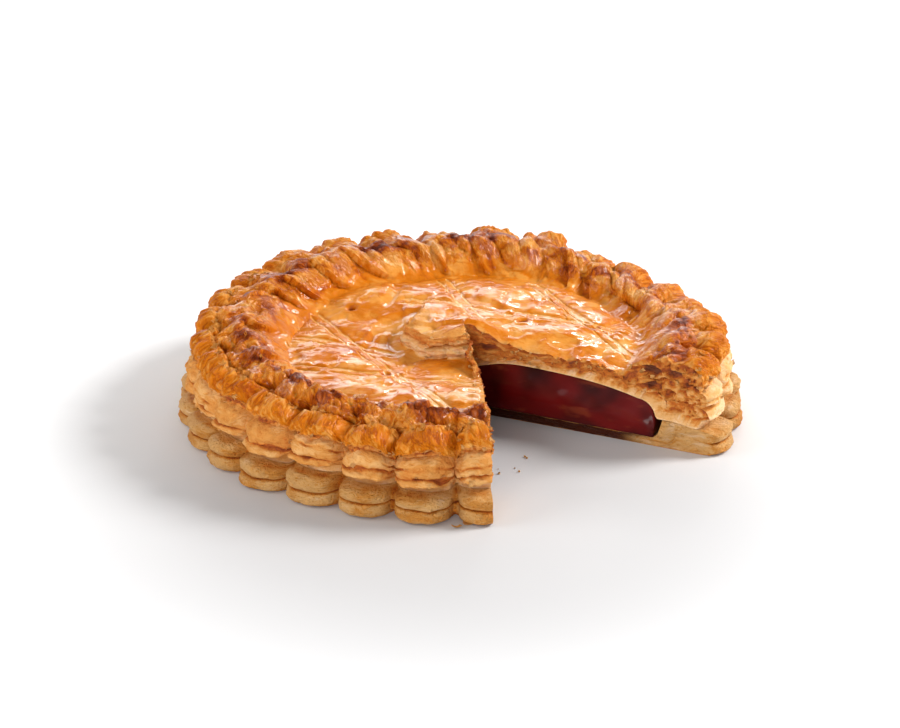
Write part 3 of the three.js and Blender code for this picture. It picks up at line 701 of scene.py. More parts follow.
# Air pockets at the cuts: how far out and up, half their width and height, depth.
POCKETS = [
    (95, 28.8, 5, 2.6, 4.5), (103, 27.3, 3.6, 2, 3.5), (94, 36.5, 4.5, 2.6, 3.5),
    (105, 36.5, 5, 3, 4.5), (86, 31, 3, 1.4, 2.0), (112, 31, 3, 1.6, 2.5),
    (100, 32.5, 3, 1.2, 2.2), (12, 33, 7, 1.3, 3.0),
]


def step_along(column):
    """How far along each ray the broken line in the middle lies; nan where a ray misses it."""
    found = np.full(column.angle.shape, np.nan)
    for (ax, ay), (bx, by) in zip(STEP_LINE[:-1], STEP_LINE[1:]):
        ux, uy, px, py = bx - ax, by - ay, ax - APEX[0], ay - APEX[1]
        turn = column.dx * uy - column.dy * ux
        along = (px * uy - py * ux) / turn
        share = (px * column.dy - py * column.dx) / turn
        hit = (along > 0) & (share >= 0) & (share <= 1) & np.isnan(found)
        found = np.where(hit, along, found)
    turn = np.degrees(column.angle)
    block = 2.6 * ease(turn, 209, 212) - 1.8 * ease(turn, 192, 206)
    notch = -1.6 * ease(turn, 228, 230) * (1 - ease(turn, 234, 236))
    ragged = 0.8 * bumps(column.angle * 4, 0, 78) + 0.3 * bumps(column.angle * 9, 0, 79)
    return found + block + notch + ragged


def sink(radius):
    """How far the pastry in front of the broken line has sunk."""
    step, along = step_along(rays), rays.along(radius)
    past = ~np.isnan(step) & (along > step)
    step = np.nan_to_num(step, nan=1e3)
    fade_back = ease(52 - (APEX[1] + step * rays.dy), 0, 56)
    to_front = ease(60 - (APEX[1] + along * rays.dy), 0, 30)
    reach = hump((along - step) / STEP_REACH) * to_front
    return np.where(past, STEP_SINK * fade_back * reach, 0)


def sag(radius):
    """How far the lid hangs down near the right cut."""
    from_cut = 1 - ease(rays.angle, CUT_RIGHT, CUT_RIGHT + np.radians(30))
    return SAG * from_cut * hump((rays.along(radius) - 42) / 24)


def score_distance(x, y, pair=0.0):
    """How far a place is from the nearest pair of lines, or from the nearest of their two lines."""
    least = np.full(np.shape(x), 1e3)
    for run, offset, begin, end in SCORES:
        c, s = np.cos(np.radians(run)), np.sin(np.radians(run))
        along, across = x * c + y * s, -x * s + y * c - offset
        beyond = np.maximum(0, np.maximum(begin - along, along - end))
        across = np.abs(np.abs(across) - pair / 2)
        least = np.minimum(least, np.hypot(across, beyond))
    return least


def rolls(turn, radius):
    """The slanting rolls of the rim."""
    along = turn * CREST_RADIUS / 19 + 0.45 * bumps(turn * 9, radius / 14, 8)
    return np.abs(np.sin(np.pi * (along - radius / 26))) ** 0.8 - 0.6


def in_front():
    """1 where the rim faces the front, 0 at the back: there its caps are one with the crest."""
    return ease(np.cos(rays.round - RIM_FACES), -0.1, 0.75)


def dome_height(x, y, radius, valley, valley_radius):
    inside = np.minimum(radius, valley_radius) / valley_radius
    dome = valley + (DOME_TOP - valley) * (1 - inside**3.4)
    dome += TIP_RISE * hump(np.hypot(x - 5, y - 2) / 14)
    pillow = 1 - np.exp(-score_distance(x, y) / 7)
    ledge = ease(y + 0.25 * (x + 20), 8.2, 9.4) * (x > -26)
    dome += 1.5 * ledge * hump(np.maximum(0, np.hypot(x + 6, y - 14) - 12) / 14)
    dome += PILLOW * pillow * ease(valley_radius - radius, 0, 14)
    return dome - sink(radius) - sag(radius)


def top_height(radius):
    """The lid's top without its finer relief: dome, valley, crest, crease and shoulder."""
    lobe = rays.lobe
    valley_radius = VALLEY_RADIUS + 1.5 * lobe.value(5)
    valley = VALLEY_HEIGHT + 0.7 * lobe.value(3) + 0.25 * rays.up
    crest = CREST_HEIGHT + rays.up + 1.1 * lobe.value(2)
    shoulder = crest - 1.6 + 0.8 * lobe.value(4) + rays.cap
    x, y, _ = np.moveaxis(rays.place(radius, 0.0), -1, 0)
    climb = np.clip((radius - valley_radius) / (CREST_RADIUS - valley_radius), 0, 1)
    inner = lerp(valley, crest, np.sin(climb * np.pi / 2) ** 1.25)
    crease = CREASE_DEPTH * hump((radius - CREASE_RADIUS) / 3.4) * (0.4 + 0.6 * in_front())
    outer = lerp(crest, shoulder, ease(radius, CREST_RADIUS, RIM_SHOULDER)) - crease
    height = np.where(radius < CREST_RADIUS, inner, outer)
    dome = dome_height(x, y, radius, valley, valley_radius)
    height = np.where(radius < valley_radius, dome, height)
    grooves = GROOVE_NOTCH * np.abs(lobe.across) ** 4
    height = height - grooves * ease(radius, 98, RIM_SHOULDER)
    on_rim = ease(radius, valley_radius + 3, CREST_RADIUS - 3)
    rolled = ROLL_HEIGHT * rolls(round_angle(x, y), radius) + 0.9 * bumps(x / 9, y / 9, 2)
    return height + on_rim * rolled + (1 - on_rim) * 0.6 * bumps(x / 20, y / 20, 3)


def lid_rings():
    """Radii of the lid's rings, by column, and how many columns apart their points lie."""
    step = np.where(np.isnan(step_along(rays)), STEP_FREE_RADIUS, step_along(rays))
    near, far = ((step + lean) * OUTER_RADIUS / rays.length for lean in (-STEP_LEAN, STEP_LEAN))
    share = lambda rows: np.linspace(0, 1, rows)[:-1, None]
    dome, wall = share(DOME_ROWS + 1) * near, lerp(near, far, share(WALL_ROWS))
    past = lerp(far, 66, share(PAST_ROWS + 1))
    outer = [np.linspace(66, 82, VALLEY_ROWS + 1)[:-1], np.linspace(82, RIM_SHOULDER, RIM_ROWS)]
    outer = np.concatenate(outer)[:, None] + 0 * rays.angle
    steps = [16] * 8 + [8] * 12 + [4] * 9 + [2] * (WALL_ROWS - 1)
    steps += [4] * 20 + [2] * 30 + [1] * (5 + RIM_ROWS)
    return np.concatenate([dome, wall, past, outer]), steps


def plates(u, v, kind, count=3.0, riser=0.16):
    """Leaves that have slid over each other, from 0 to 1: each tilts up to a sharp step down."""
    bend = 0.5 * bumps(u * 1.1 + 4.2, v * 1.1, kind + 0.25)
    level = bumps(u + bend, v + 0.6 * bend, kind) + 0.35 * bumps(2.3 * u, 2.3 * v + bend, kind + 2)
    part = count * level - np.floor(count * level)
    tilted, falling = part / (1 - riser), (1 - part) / riser
    return tilted * (part < 1 - riser) + falling * (part >= 1 - riser)


def fans(round_way, radius):
    """Fine folds that fan out over each cap and go on down its front."""
    return creased((round_way - 0.3 * radius) / 2.2, radius / 6, 57)


def rim_relief(radius, on_rim, front):
    """Shingles up the rim's inner wall, a petal over each lobe, folds, and how brown they are, with
    painted shade in their creases.
    """
    run = rays.run
    slant, lean = run - 0.55 * radius, run - 1.3 * (radius - 95)
    slide = lean / 33 + 0.6 * bumps(run / 40, radius / 18, 60)
    part = slide - np.floor(slide)
    shingle = part**0.7 * (1 - ease(part, 0.94, 1.0))
    on_wall = on_rim * (1 - ease(radius, 97, 103))
    on_cap = ease(radius, 105, 109)
    wander = 0.03 * bumps(run / 17, radius / 9, 59)
    petal = Lobe(rays.round + 0.008 * (RIM_SHOULDER - radius) + wander)
    pillow = np.maximum(0, 1 - np.abs(petal.across) ** 3) ** 0.5 - 0.7
    big = creased(slant / 9.5, radius / 8, 61)
    middle = creased(slant / 3.3 + 0.5 * big, radius / 5.5, 62)
    small = creased(slant / 1.7, radius / 2.4, 64)
    still = lerp(lerp(0.36, 1.0, front), lerp(0.04, 0.7, front), on_wall)
    lens = creased(lean / 20, (radius + 0.35 * run) / 15, 46)
    slid = plates(slant / 22, radius / 15, 58, 1.8)
    fan = fans(run, radius)
    bulge = hump((radius - lerp(98, CREASE_RADIUS, front)) / lerp(11, 3.4, front))
    push = on_wall * (3.4 * shingle - 2.4 + 2.6 * (lens - 0.5))
    push += on_rim * lerp(lerp(0.9, 1.5, front), 1.0, on_wall) * (slid - 0.5)
    push += lerp(3.6, 2.2, front) * pillow * bulge
    folds = lerp(2.2, 1.6, front) * (big - 0.5) + 1.3 * (middle - 0.5) + 0.9 * (small - 0.5)
    push += still * on_rim * folds + on_cap * lerp(0.6, 1.5, front) * (fan - 0.5)
    # Browned in patches on the crest. Darker in the creases, partly glaze that pooled and browned
    # there and partly painted shade; on the back wall painted shade in the lens creases and at each
    # shingle's foot, with its ridge painted lighter as if lit; the caps' fan creases a little darker,
    # painted shade.
    crest = hump((radius - 100 - 2 * bumps(run / 18, 0 * run, 73)) / 8)
    burnt = ease(rough(run / 11, radius / 7, 0 * radius, 75) + 0.25 * front, -0.35, 0.65)
    dark = hump(big / 0.16) + 0.7 * hump(middle / 0.16)
    bake = crest * (0.02 + 0.36 * burnt) + on_rim * dark * (0.11 + 0.20 * burnt * crest)
    # Painted shade in the lens creases; below, each shingle's foot painted darker and its ridge
    # lighter, as if lit.
    bake += 0.20 * on_wall * (1 - front) * (hump(lens / 0.22) - 0.25)
    bake += 0.07 * on_rim * ease(slid, 0.6, 1.0) - 0.10 * on_wall * (shingle - 0.5)
    return push, bake - 0.04 * on_cap * (fan - 0.4)


def torn_caps(radius, front):
    """In front each cap stands up at its torn back edge, where it came away from the crest."""
    run = rays.run
    edge = 114.6 + 1.8 * bumps(run / 6, 0 * run, 54) + 1.2 * bumps(run / 2.2, 0 * run, 53)
    lifted = (0.2 + 1.0 * front) * hump((radius - edge) / 1.3) * (1 - rays.lobe.across**6)
    gap = (0.2 + 3.2 * front) * hump((radius - edge + 2.8) / 1.5)
    crack = 1.3 * front * hump((radius - 101.5 - 1.5 * bumps(run / 9, 0 * run, 52)) / 1.6)
    return lifted - gap - crack, 0 * radius


def valley_tucks(radius):
    """Small tucks, gathered in places, in the fold between dome and rim."""
    run = rays.run
    wander = 0.8 * bumps(run / 19, radius / 12, 55)
    tucks = creased(run / 7 + wander, radius / 13, 51) - 0.4
    gathered = ease(bumps(run / 26, 0 * radius, 56), -0.1, 0.5)
    # Painted shade: the fold between dome and rim is a little darker.
    return 0.9 * gathered * tucks * hump((radius - 84) / 7), 0.05 * hump((radius - 85) / 7)


def dome_relief(x, y, radius):
    """Pillows that overlap, leaves' edges, finer creases and blisters, and the blade's lines."""
    on_dome = 1 - ease(radius, 76, 86)
    along = x * np.cos(GRAIN) - y * np.sin(GRAIN)
    across = x * np.sin(GRAIN) + y * np.cos(GRAIN)
    quilt = creased(along / 21, across / 26, 50)
    crimp = creased(along / 5 + 0.6 * quilt, across / 6, 65)
    calm = ease(bumps(x / 22, y / 14, 66), -0.6, 0.5)
    blister = np.maximum(0, 1 - (pits(x / 8, y / 8, 67, 0.5) / 0.40) ** 2)
    bubble = np.maximum(0, 1 - (pits(x / 4.5, y / 5.0, 68, 0.5) / 0.42) ** 2) * (1 - calm)
    leaf_edges = plates(along / 36, across / 38, 47, 1.5, 0.10)
    short_edges = plates(along / 14, across / 19, 48, 0.9, 0.14)
    folds = 1.9 * (quilt - 0.45) + 0.3 * calm * (crimp - 0.5)
    folds += 1.2 * (leaf_edges - 0.5) + 0.85 * (short_edges - 0.5)
    beside_lines = 1 - 0.75 * hump(score_distance(x, y) / 4.5)
    blade = hump(score_distance(x, y, SCORE_PAIR) / 0.9)
    push = on_dome * (beside_lines * folds + 0.6 * blister + 0.4 * bubble - 0.7 * blade)
    bake = 0.05 * (quilt - 0.4) + 0.05 * blister + 0.08 * bubble
    edges = ease(leaf_edges, 0.75, 1.0) + ease(short_edges, 0.75, 1.0)
    return push, on_dome * (bake + 0.06 * edges)


def air_holes(x, y):
    """Each hole has a deep pit painted dark as shade, a raised lip and small folds that run towards
    it.
    """
    away = [(x - spot[0], y - spot[1]) for spot in AIR_HOLES]
    hole = np.minimum.reduce([np.hypot(dx, dy) for dx, dy in away])
    spokes = np.minimum.reduce([np.sin(7 * np.arctan2(dy, dx)) for dx, dy in away])
    push = 0.5 * spokes * hump((hole - 7) / 4) + 0.8 * hump((hole - 3.8) / 1.6)
    return push - 5.5 * hump(hole / 1.5), 0.45 * hump(hole / 1.7)


def broken_step(points, height, radius, push, bake):
    """The wall in the middle: brown where glaze ran over its top edge, pale leaves below."""
    x, y = points[..., 0], points[..., 1]
    step = step_along(rays)
    drop = np.linspace(0, 1, WALL_ROWS)[:, None]
    at_wall = ~np.isnan(step) * ease(sink(radius[WALL.stop]), 2, 5)
    wall = np.zeros_like(bake)
    wall[WALL] = at_wall
    leaf = bumps(rays.run / 30 + x / 13, height / 0.9, 76)
    torn = rough(x / 5, y / 5, height / 1.2, 80)
    downs, outs = [0, 0.06, 0.3, 0.42, 0.5, 0.82, 0.9, 1], [-0.6, 0.1, 0.2, -1.5, 1.1, 1.1, -0.4, 0.8]
    push = push * (1 - wall) + wall * (0.8 * leaf + 0.8 * torn)
    push[WALL] = push[WALL] + at_wall * np.interp(drop, downs, outs)
    run_over = 0.34 - 1.7 * drop + 0.5 * (x[WALL] < -14) * (drop < 0.45)
    run_over += 0.35 * bumps(x[WALL] / 4.5, y[WALL] / 4.5, 77) + 0.2 * torn[WALL]
    # Painted shade: a dark line in the recess between the slabs, a little under halfway down.
    broken = 0.08 + 0.12 * np.abs(leaf[WALL]) + 0.30 * hump((drop - 0.42) / 0.06)
    broken = lerp(broken, 0.43, ease(run_over, -0.25, 0.40))
    bake[WALL] = lerp(bake[WALL], broken, wall[WALL])
    # Just behind the edge the glaze is duller, and toasted at the very edge.
    before = np.nan_to_num(step, nan=-1e3) - rays.along(radius)
    dull = at_wall * ease(before, -0.1, 0.1) * (1 - ease(before, 5, 13))
    bake += (0.12 * hump(before / 1.2) - 0.10) * dull * (1 - wall)
    return push, bake, wall, dull


def worn_edge(radius):
    """Along both cuts the knife has broken the glazed edge into crumbs."""
    along = rays.along(radius)
    from_cut = np.minimum(rays.angle - CUT_RIGHT, CUT_LEFT - rays.angle)
    from_cut = along * np.sin(np.minimum(from_cut, np.pi / 2))
    crumbly = bumps(along / 2.6, 0 * along, 45) + 0.6 * bumps(along / 1.1, 0 * along, 44)
    worn = hump(from_cut / 1.1) * ease(crumbly, -0.7, 0.4) * ease(along, 3, 8)
    return worn, 0.34 - 0.08 * crumbly


def lid_top():
    """The lid's top as a grid of places, how far its relief pushes each outwards, and its marks."""
    radius, steps = lid_rings()
    height, front = top_height(radius), in_front()
    even = lerp(height[WALL][0], height[WALL][-1], np.linspace(0, 1, WALL_ROWS)[:, None])
    height[WALL] = np.where(np.isnan(step_along(rays)), height[WALL], even)
    out = rays.out * ease(radius, 90, RIM_SHOULDER)
    inset = rays.lobe.pinch(7.0) * ease(radius, 98, RIM_SHOULDER)
    points = rays.place(radius + out - inset, height)
    x, y = points[..., 0], points[..., 1]
    on_rim = lerp(ease(radius, 80.5, 86), ease(radius, 83, 92), front)
    reliefs = [rim_relief(radius, on_rim, front), torn_caps(radius, front), valley_tucks(radius)]
    reliefs += [dome_relief(x, y, radius), air_holes(x, y)]
    push, bake = (sum(parts) for parts in zip(*reliefs))
    bake += 0.41 + 0.07 * rough(x / 12, y / 12, 0 * x, 74)
    most = lerp(0.8, lerp(2.3, 1.5, front), on_rim)
    push = np.where(push > 0, most * (1 - np.exp(-np.maximum(0, push) / most)), push)
    push, bake, wall, dull = broken_step(points, height, radius, push, bake)
    worn, crumb_bake = worn_edge(radius)
    marks = {
        "bake": lerp(bake, crumb_bake, 0.8 * worn),
        "glaze": (1 - wall) * (1 - 0.75 * dull) * (1 - worn),
        "inside": wall,
        "rim": ease(radius, 84, 92),
        "round": rays.run - 0.55 * radius,
        "out": radius,
    }
    return radius, steps, points, push - 1.2 * worn, marks


def lid_side():
    """Rows up the side: the lip over the pads, two layers, a rough band, the cap."""
    lobe, run = rays.lobe, rays.run
    slant = lobe.value(9) * lobe.across
    fold = 0.25 + 0.07 * lobe.value(11) + 0.08 * slant + 0.022 * bumps(run / 6, 0, 81)
    band = 0.585 + 0.03 * lobe.value(12) + 0.02 * slant + 0.014 * bumps(run / 4, 0, 82)
    cap = 0.72 + 0.03 * lobe.value(13) + 0.018 * bumps(run / 5, 0, 83)
    cap += 0.014 * bumps(run / 1.8, 0, 84)
    lower, upper = toward_ends(12)[1:], toward_ends(14)[1:]
    middle, above = np.linspace(0, 1, 7)[1:, None], np.linspace(0, 1, 15)[1:, None] ** 1.15
    up_to = [lerp(-0.02, 1, lower) * fold, lerp(fold, band, upper), lerp(band, cap, middle)]
    share = np.concatenate([*up_to, lerp(cap, 1, above)])
    ups, outs = [0, 0.03, 0.1, 0.3, 0.55, 0.8, 1], [-2.6, -0.2, 0.6, 1.2, 1.3, 0.3, -1.6]
    crease = -3.0 * (1 + 0.35 * lobe.value(24))
    out = np.concatenate([
        layer(lower, -10.0, crease, 0.5, 3.4) + 0 * run,
        layer(upper, crease, -3.4, 0.5) + 0 * run,
        layer(middle, -3.4, -3.2, -2.4) + 0 * run,
        np.interp(above, ups, outs) + 0 * run,
    ])
    # Each lobe's layers swell by their own amount, which goes over from row to row.
    kinds = np.repeat([20, 21, 22, 23], [len(lower), len(upper), len(middle), len(above)])
    swell = [lobe.value(kind) + 0.8 * lobe.value(kind + 6) * lobe.across for kind in kinds]
    swell = np.cumsum(np.pad(1.1 * np.stack(swell), ((3, 3), (0, 0)), mode="edge"), axis=0)
    swell = (swell[6:] - swell[:-6]) / 6
    swell = np.concatenate([swell, swell[-1:]])[: len(share)]
    deep = np.interp(share, [0, 0.2, 0.5, 0.7, 1], [9, 9.5, 9, 8, 7])
    top = top_height(np.full_like(rays.angle, RIM_SHOULDER)) - 1.2
    height = lerp(rays.seam + LIP, top, share)
    height += 1.4 * ease(share, 0.16, 0) * (1 + 0.6 * np.abs(lobe.across) ** 4)
    back = SIDE_TAPER * ease(height, 2, 46) + 0.4 + 0.8 * ease(height, 26, 16)
    outward = rays.out * ease(height, 14, 40)
    radius = OUTER_RADIUS - back + out + swell + outward - lobe.pinch(1.0) * deep
    return share, (fold, band, cap), out, rays.place(radius, height)


def side_relief(share, levels, out, side, top_edge):
    """Lumps, slanting folds, splits and the rough band on the side, and its marks."""
    fold, band, cap = levels
    lobe, run = rays.lobe, rays.run
    x, y, z = np.moveaxis(side, -1, 0)
    down = RIM_SHOULDER + top_edge - z
    slant = run - 0.55 * down
    on_cap = ease(share, cap - 0.01, cap + 0.05)
    in_band = ease(share, band - 0.01, band + 0.02) * (1 - ease(share, cap - 0.03, cap))
    lump = 0.8 * rough(x / 10, y / 10, z / 7, 101) + 0.45 * rough(x / 3, y / 3, z / 1.8, 102)
    fan, small = fans(run, down) - 0.45, creased(slant / 1.7, down / 2.4, 64) - 0.4
    slanted = creased(run / 7 + z * (0.10 + 0.08 * lobe.value(25)), z / 3.0, 103) - 0.4
    patchy = ease(bumps(run / 8, z / 6, 104), -0.3, 0.6)
    pores = np.maximum(0, 1 - (pits(run / 1.7, z / 1.0, 105, 0.75) / 0.45) ** 2)
    torn = bumps(run / 7, z / 1.2, 107) + 0.7 * bumps(run / 2.5, z / 0.8, 108)
    split = band - 0.15 + 0.05 * lobe.value(27) + 0.07 * lobe.value(28) * lobe.across
    is_split = ease(lobe.value(29) + 0.3 * bumps(run / 5, 0, 110), -0.4, 0.2)
    split = hump((share - split) / 0.016) * is_split
    push = lump + on_cap * (1.5 * fan + 0.8 * small) + (1 - on_cap) * 0.9 * patchy * slanted
    push += in_band * (0.55 * torn - 1.0 * pores) - 1.5 * split
    # Toasted where the side stands proud. Painted shade: darker in the slanting creases, in the fold
    # between the layers, in the splits and deep in the slit over the pads; the band under the cap is
    # darker, partly its own rough brown and partly painted shade, its pores painted darker. Painted
    # light: the side to the right, towards the key lamp, is paler. On the caps the creases of the
    # fans are a little darker, painted shade.
    bake = 0.26 + 0.06 * np.clip((out + 2.6) / 3, 0, 1) + 0.10 * rough(x / 9, y / 9, z / 6, 106)
    bake = bake - 0.10 * slanted + 0.38 * hump((share - fold) / 0.022) + 0.35 * split
    bake = bake - 0.22 * ease(np.cos(rays.round), 0.5, 0.95)
    bake += in_band * (0.18 + 0.16 * torn + 0.30 * pores) + 0.8 * ease(out, -5, -9)
    marks = {
        "bake": lerp(bake, 0.46 + 0.10 * ease(share, 0.8, 1) - 0.08 * fan, on_cap),
        "glaze": on_cap * ease(share, cap, cap + 0.06),
        "rim": on_cap,
        "round": slant,
        "out": down,
    }
    return push * ease(share, -0.05, 0.05), marks


def lid_cut(along, height, roof, floor, end):
    """Where the knife went through: pale leaves under a brown skin, and air pockets in the rim."""
    below, above = roof - height, height - floor
    rim = ease(along, 80, 90)
    bent = 0.8 * bumps(along / 9, height / 5, 91)
    leaf = bumps(along / 6 + 31 * end, below / 1.15 + bent, 92)
    torn = bumps(along / 3 + 5 * end, height / 2.2, 93)
    ragged = rough(along / 2.4, height / 2.0, 0 * along, 97)
    cell = pits(along / 5.6 + 7 * end, height / 2.8 + 0.3 * bent, 94, 0.6)
    cell = np.minimum(cell, 0.1 + pits(along / 2.6, height / 1.5 + 0.3 * bent, 89, 0.6))
    holes = np.maximum(0, 1 - (cell / 0.46) ** 2) ** 0.7
    push = 0.6 * leaf + 0.5 * torn + 1.1 * ragged - 0.4 - lerp(1.2, 2.2, rim) * holes
    edge = 0.7 * bumps(along / 2.2, 0 * along, 95) + 0.4 * bumps(along / 0.9, 0 * along, 96) - 0.1
    push += edge * hump(below / 0.8)
    away = lambda a, h, wide, high: np.hypot((along - a) / wide, (height - h) / high) + 0.22 * torn
    pockets = [deep * (1 - ease(away(*spot), 0.55, 1.05)) for *spot, deep in POCKETS]
    hollow = np.maximum.reduce(pockets)
    push = (push * (1 - 0.2 * hollow) - hollow) * ease(along, 0, 3)
    # Painted shade: the crumb's holes and the air pockets are darker. The part above the jelly is
    # browner, partly the brown of the upper leaves and partly painted shade.
    bake = 0.06 + 0.12 * np.maximum(0, -leaf) + lerp(0.10, 0.36, rim) * holes + 0.12 * hollow
    up_from_jelly = ease(above + 0.9 * ragged + 0.7 * torn, 1.0, 3.4)
    bake += 0.12 * ragged + lerp(0.37, 0.22, rim) * up_from_jelly
    bake += 0.22 * hump(below / 2.2) + 0.12 * rim * hump((below - 5) / 5)
    soak = 0.45 * hump(above / 0.9) * (1 - ease(along, 84, 90))
    return push, {"inside": 1.0, "bake": bake, "soak": soak}


def outwards(points):
    """The outward direction of each point of a grid that runs outwards and then down."""
    along, up = np.gradient(points, axis=1), np.gradient(points, axis=0)
    normal = np.cross(up, along)
    return normal / np.maximum(np.linalg.norm(normal, axis=-1, keepdims=True), 1e-9)


def lid_piece(material):
    radius, steps, top, push, top_marks = lid_top()
    share, levels, out, side = lid_side()
    side_push, side_marks = side_relief(share, levels, out, side, top[-1, :, 2])
    # The side, from the shoulder down, goes on from the top as one surface and moves with it.
    whole, push = np.concatenate([top, side[::-1]]), np.concatenate([push, side_push[::-1]])
    rows, normal = len(top), outwards(whole)
    normal = normal if normal[rows // 2, :, 2].mean() > 0 else -normal
    for _ in range(2):
        around = (push[rows - 3 : rows + 2] + push[rows - 2 : rows + 3]) / 2
        push[rows - 3 : rows + 2] = around
    moved = whole + normal * push[..., None]
    # The underside: over the filling, then level to the edge, with a slit over the pads.
    flow = radius[:, :1] / RIM_SHOULDER
    reach = OUTER_RADIUS - PAD_NECK - rays.lobe.pinch(8.0) * ease(flow, 0.86, 1)
    under_radius = flow * reach
    slit = lerp(SEAM_HEIGHT, rays.seam, ease(under_radius, 104, 118)) + GAP
    under = np.where(under_radius < FILLING_RADIUS, under_height(under_radius), slit)
    under_steps = [16] * (rows - 8) + [8, 8, 4, 4, 2, 2, 1, 1]
    marks = [top_marks, everywhere(bake=0.1, inside=1.0), side_marks]
    skin = Skin()
    upper, lower = moved[:rows], rays.place(under_radius, under)
    skin.build(upper, lower, moved[rows:][::-1], (steps, under_steps), lid_cut, marks)
    return skin.piece("lid_pastry", material, "lid")


LINE_WIDTH, LINE_EDGE, HOLE_RADIUS = 0.0009, 0.0020, 0.0019
MATT_CRUST, STAINED_DOUGH = (0.50, 0.32, 0.21, 1), (0.30, 0.03, 0.012, 1)


def blade_marks(at):
    """The blade's lines, their raised edges and the air holes, drawn where the part has them."""
    wander = 0.0015 * (noise(at, 14, 3) - 0.5)
    lines, holes = [], []
    for run, offset, begin, end in SCORES:
        turned = {"Vector": at, "Angle": -np.radians(run)}
        x, y, _ = apart(put(at.tree, "ShaderNodeVectorRotate", turned))
        across = abs(abs(y - offset / 1000 + wander) - SCORE_PAIR / 2000)
        beyond = abs(x - (begin + end) / 2000) - (end - begin) / 2000
        lines.append(across + maths("MAXIMUM", beyond, 0.0))
    x, y, _ = apart(at)
    flat = together(at.tree, x, y)
    for spot in AIR_HOLES:
        wired = {0: flat, 1: (spot[0] / 1000, spot[1] / 1000, 0)}
        away = put(at.tree, "ShaderNodeVectorMath", wired, output="Value", operation="DISTANCE")
        holes.append(away)
    least = lambda found: functools.reduce(lambda a, b: maths("MINIMUM", a, b), found)
    line, hole = least(lines), least(holes)
    edge = between(line, LINE_EDGE, 0.0008) - between(line, 0.0008, 0.0003)
    return between(line, LINE_WIDTH, 0.0003), edge, between(hole, HOLE_RADIUS, 0.0008)


def folds(at, rim):
    """Rounded folds with sharp creases, and the steps between leaves that have slid."""
    tree = at.tree
    around, out = mark(tree, "round") * 0.001, mark(tree, "out") * 0.001
    on_rim = together(tree, around, out)
    on_dome = put(tree, "ShaderNodeMapping", {"Vector": at, "Rotation": (0, 0, GRAIN)})
    pick = lambda a, b: put(tree, "ShaderNodeMix", {0: rim, 2: a, 3: b}, data_type="FLOAT")
    fold = pick(
        noise(on_dome, 6, 2, stretch=(1.3, 1, 1), Roughness=0.4, Distortion=0.6),
        noise(on_rim, 3.2, 4, stretch=(1, 1.4, 1), Roughness=0.6, Distortion=0.6),
    )
    fold = maths("POWER", maths("MULTIPLY", abs(2.0 * fold - 1.0), 2.4, clamp=True), 0.6)
    broad = pick(
        noise(on_dome, 26, 1, stretch=(1.6, 1, 1), Distortion=1.2),
        noise(on_rim, 11, 1, stretch=(1, 1.5, 1), Distortion=1.0),
    )
    leaf = maths("FRACT", broad * between(rim, 0, 1, 5.5, 8.0))
    swell = pick(
        noise(on_dome, 12, 1, Distortion=0.8),
        noise(on_rim, 4.2, 1.5, stretch=(1, 1.3, 1), Distortion=0.8),
    )
    return fold, leaf * between(noise(at, 13, 1), 0.38, 0.52), swell


def glazed_pastry():
    """Egg glaze over brown pastry on the top; the side and the cut faces are dry."""
    gloss = {"Specular_IOR_Level": 0.05, "Coat_Roughness": 0.08, "Coat_IOR": 1.42}
    material, tree, sockets = surface("glazed_pastry", **gloss)
    at, glaze, rim = spot_on(tree), mark(tree, "glaze"), mark(tree, "rim")
    dry = maths("SUBTRACT", 1.0, glaze, clamp=True)
    leaves = use(tree, LEAVES)
    line, edge, hole = blade_marks(at)
    fold, leaf, swell = folds(at, rim)
    cut = line * glaze
    # Darker in the creases, partly glaze that pooled and browned there and partly painted shade, with
    # painted shade in the pores and the air holes; paler in the blade's lines and on the leaves'
    # lips.
    bake = mark(tree, "bake") + dry * (0.14 * leaves["Pore"] - 0.08 * leaves["Line"])
    bake = bake - 0.18 * cut + glaze * (0.03 * edge + 0.5 * hole)
    bake += between(rim, 0, 1, 0.06, 0.27) * (0.40 - fold) * glaze
    bake = bake - 0.08 * between(leaf, 0.7, 1.0) * glaze
    mottle = between(glaze, 0, 1, 0.45, 0.8)
    brown = use(tree, BROWNING_AND_SHADE, {"Bake": bake, "Mottle": mottle})["Color"]
    matt = blend_colour(0.13 * dry, brown, MATT_CRUST)
    blend_colour(mark(tree, "soak"), matt, STAINED_DOUGH).to(sockets["Base Color"])
    between(glaze, 0, 1, 0.75, 0.45).to(sockets["Roughness"])
    # The glaze lies in patches, thin on steep and burnt places and on the caps.
    _, _, up = apart(put(tree, "ShaderNodeNewGeometry", output="Normal"))
    coat = between(noise(at, 11, 3), 0.40, 0.55, 0.35, 1.0) * between(up, 0.25, 0.8, 0.12, 1.0)
    coat = coat * between(bake, 0.60, 0.95, 1.0, 0.4)
    coat = coat * between(mark(tree, "out"), 109, 114, 1.0, 0.25)
    (glaze * coat).to(sockets["Coat Weight"])
    # The crust's own relief, and the softer one of the film of glaze over it.
    crackle = (fold * between(rim, 0, 1, 0.3, 1.8) + 0.45 * leaf) * glaze
    relief = 1.5 * dry * leaves["Height"] + crackle - 0.4 * cut
    bump(relief, 0.6, 0.0010).to(sockets["Normal"])
    film = swell * between(rim, 0, 1, 1.7, 3.0) + fold * between(rim, 0, 1, 0.12, 0.9) + 0.4 * leaf
    bump(film * glaze - 0.3 * cut, 0.5, 0.0010).to(sockets["Coat Normal"])
    return material


LID = lid_piece(glazed_pastry())


# ---- Loose flakes and crumbs -------------------------------------------------------------------
# Thin leaves of baked dough that have curled and come away at the torn edges of the caps, on the rim
# and along the cuts, and crumbs that the knife left at the cuts. They only lie there.

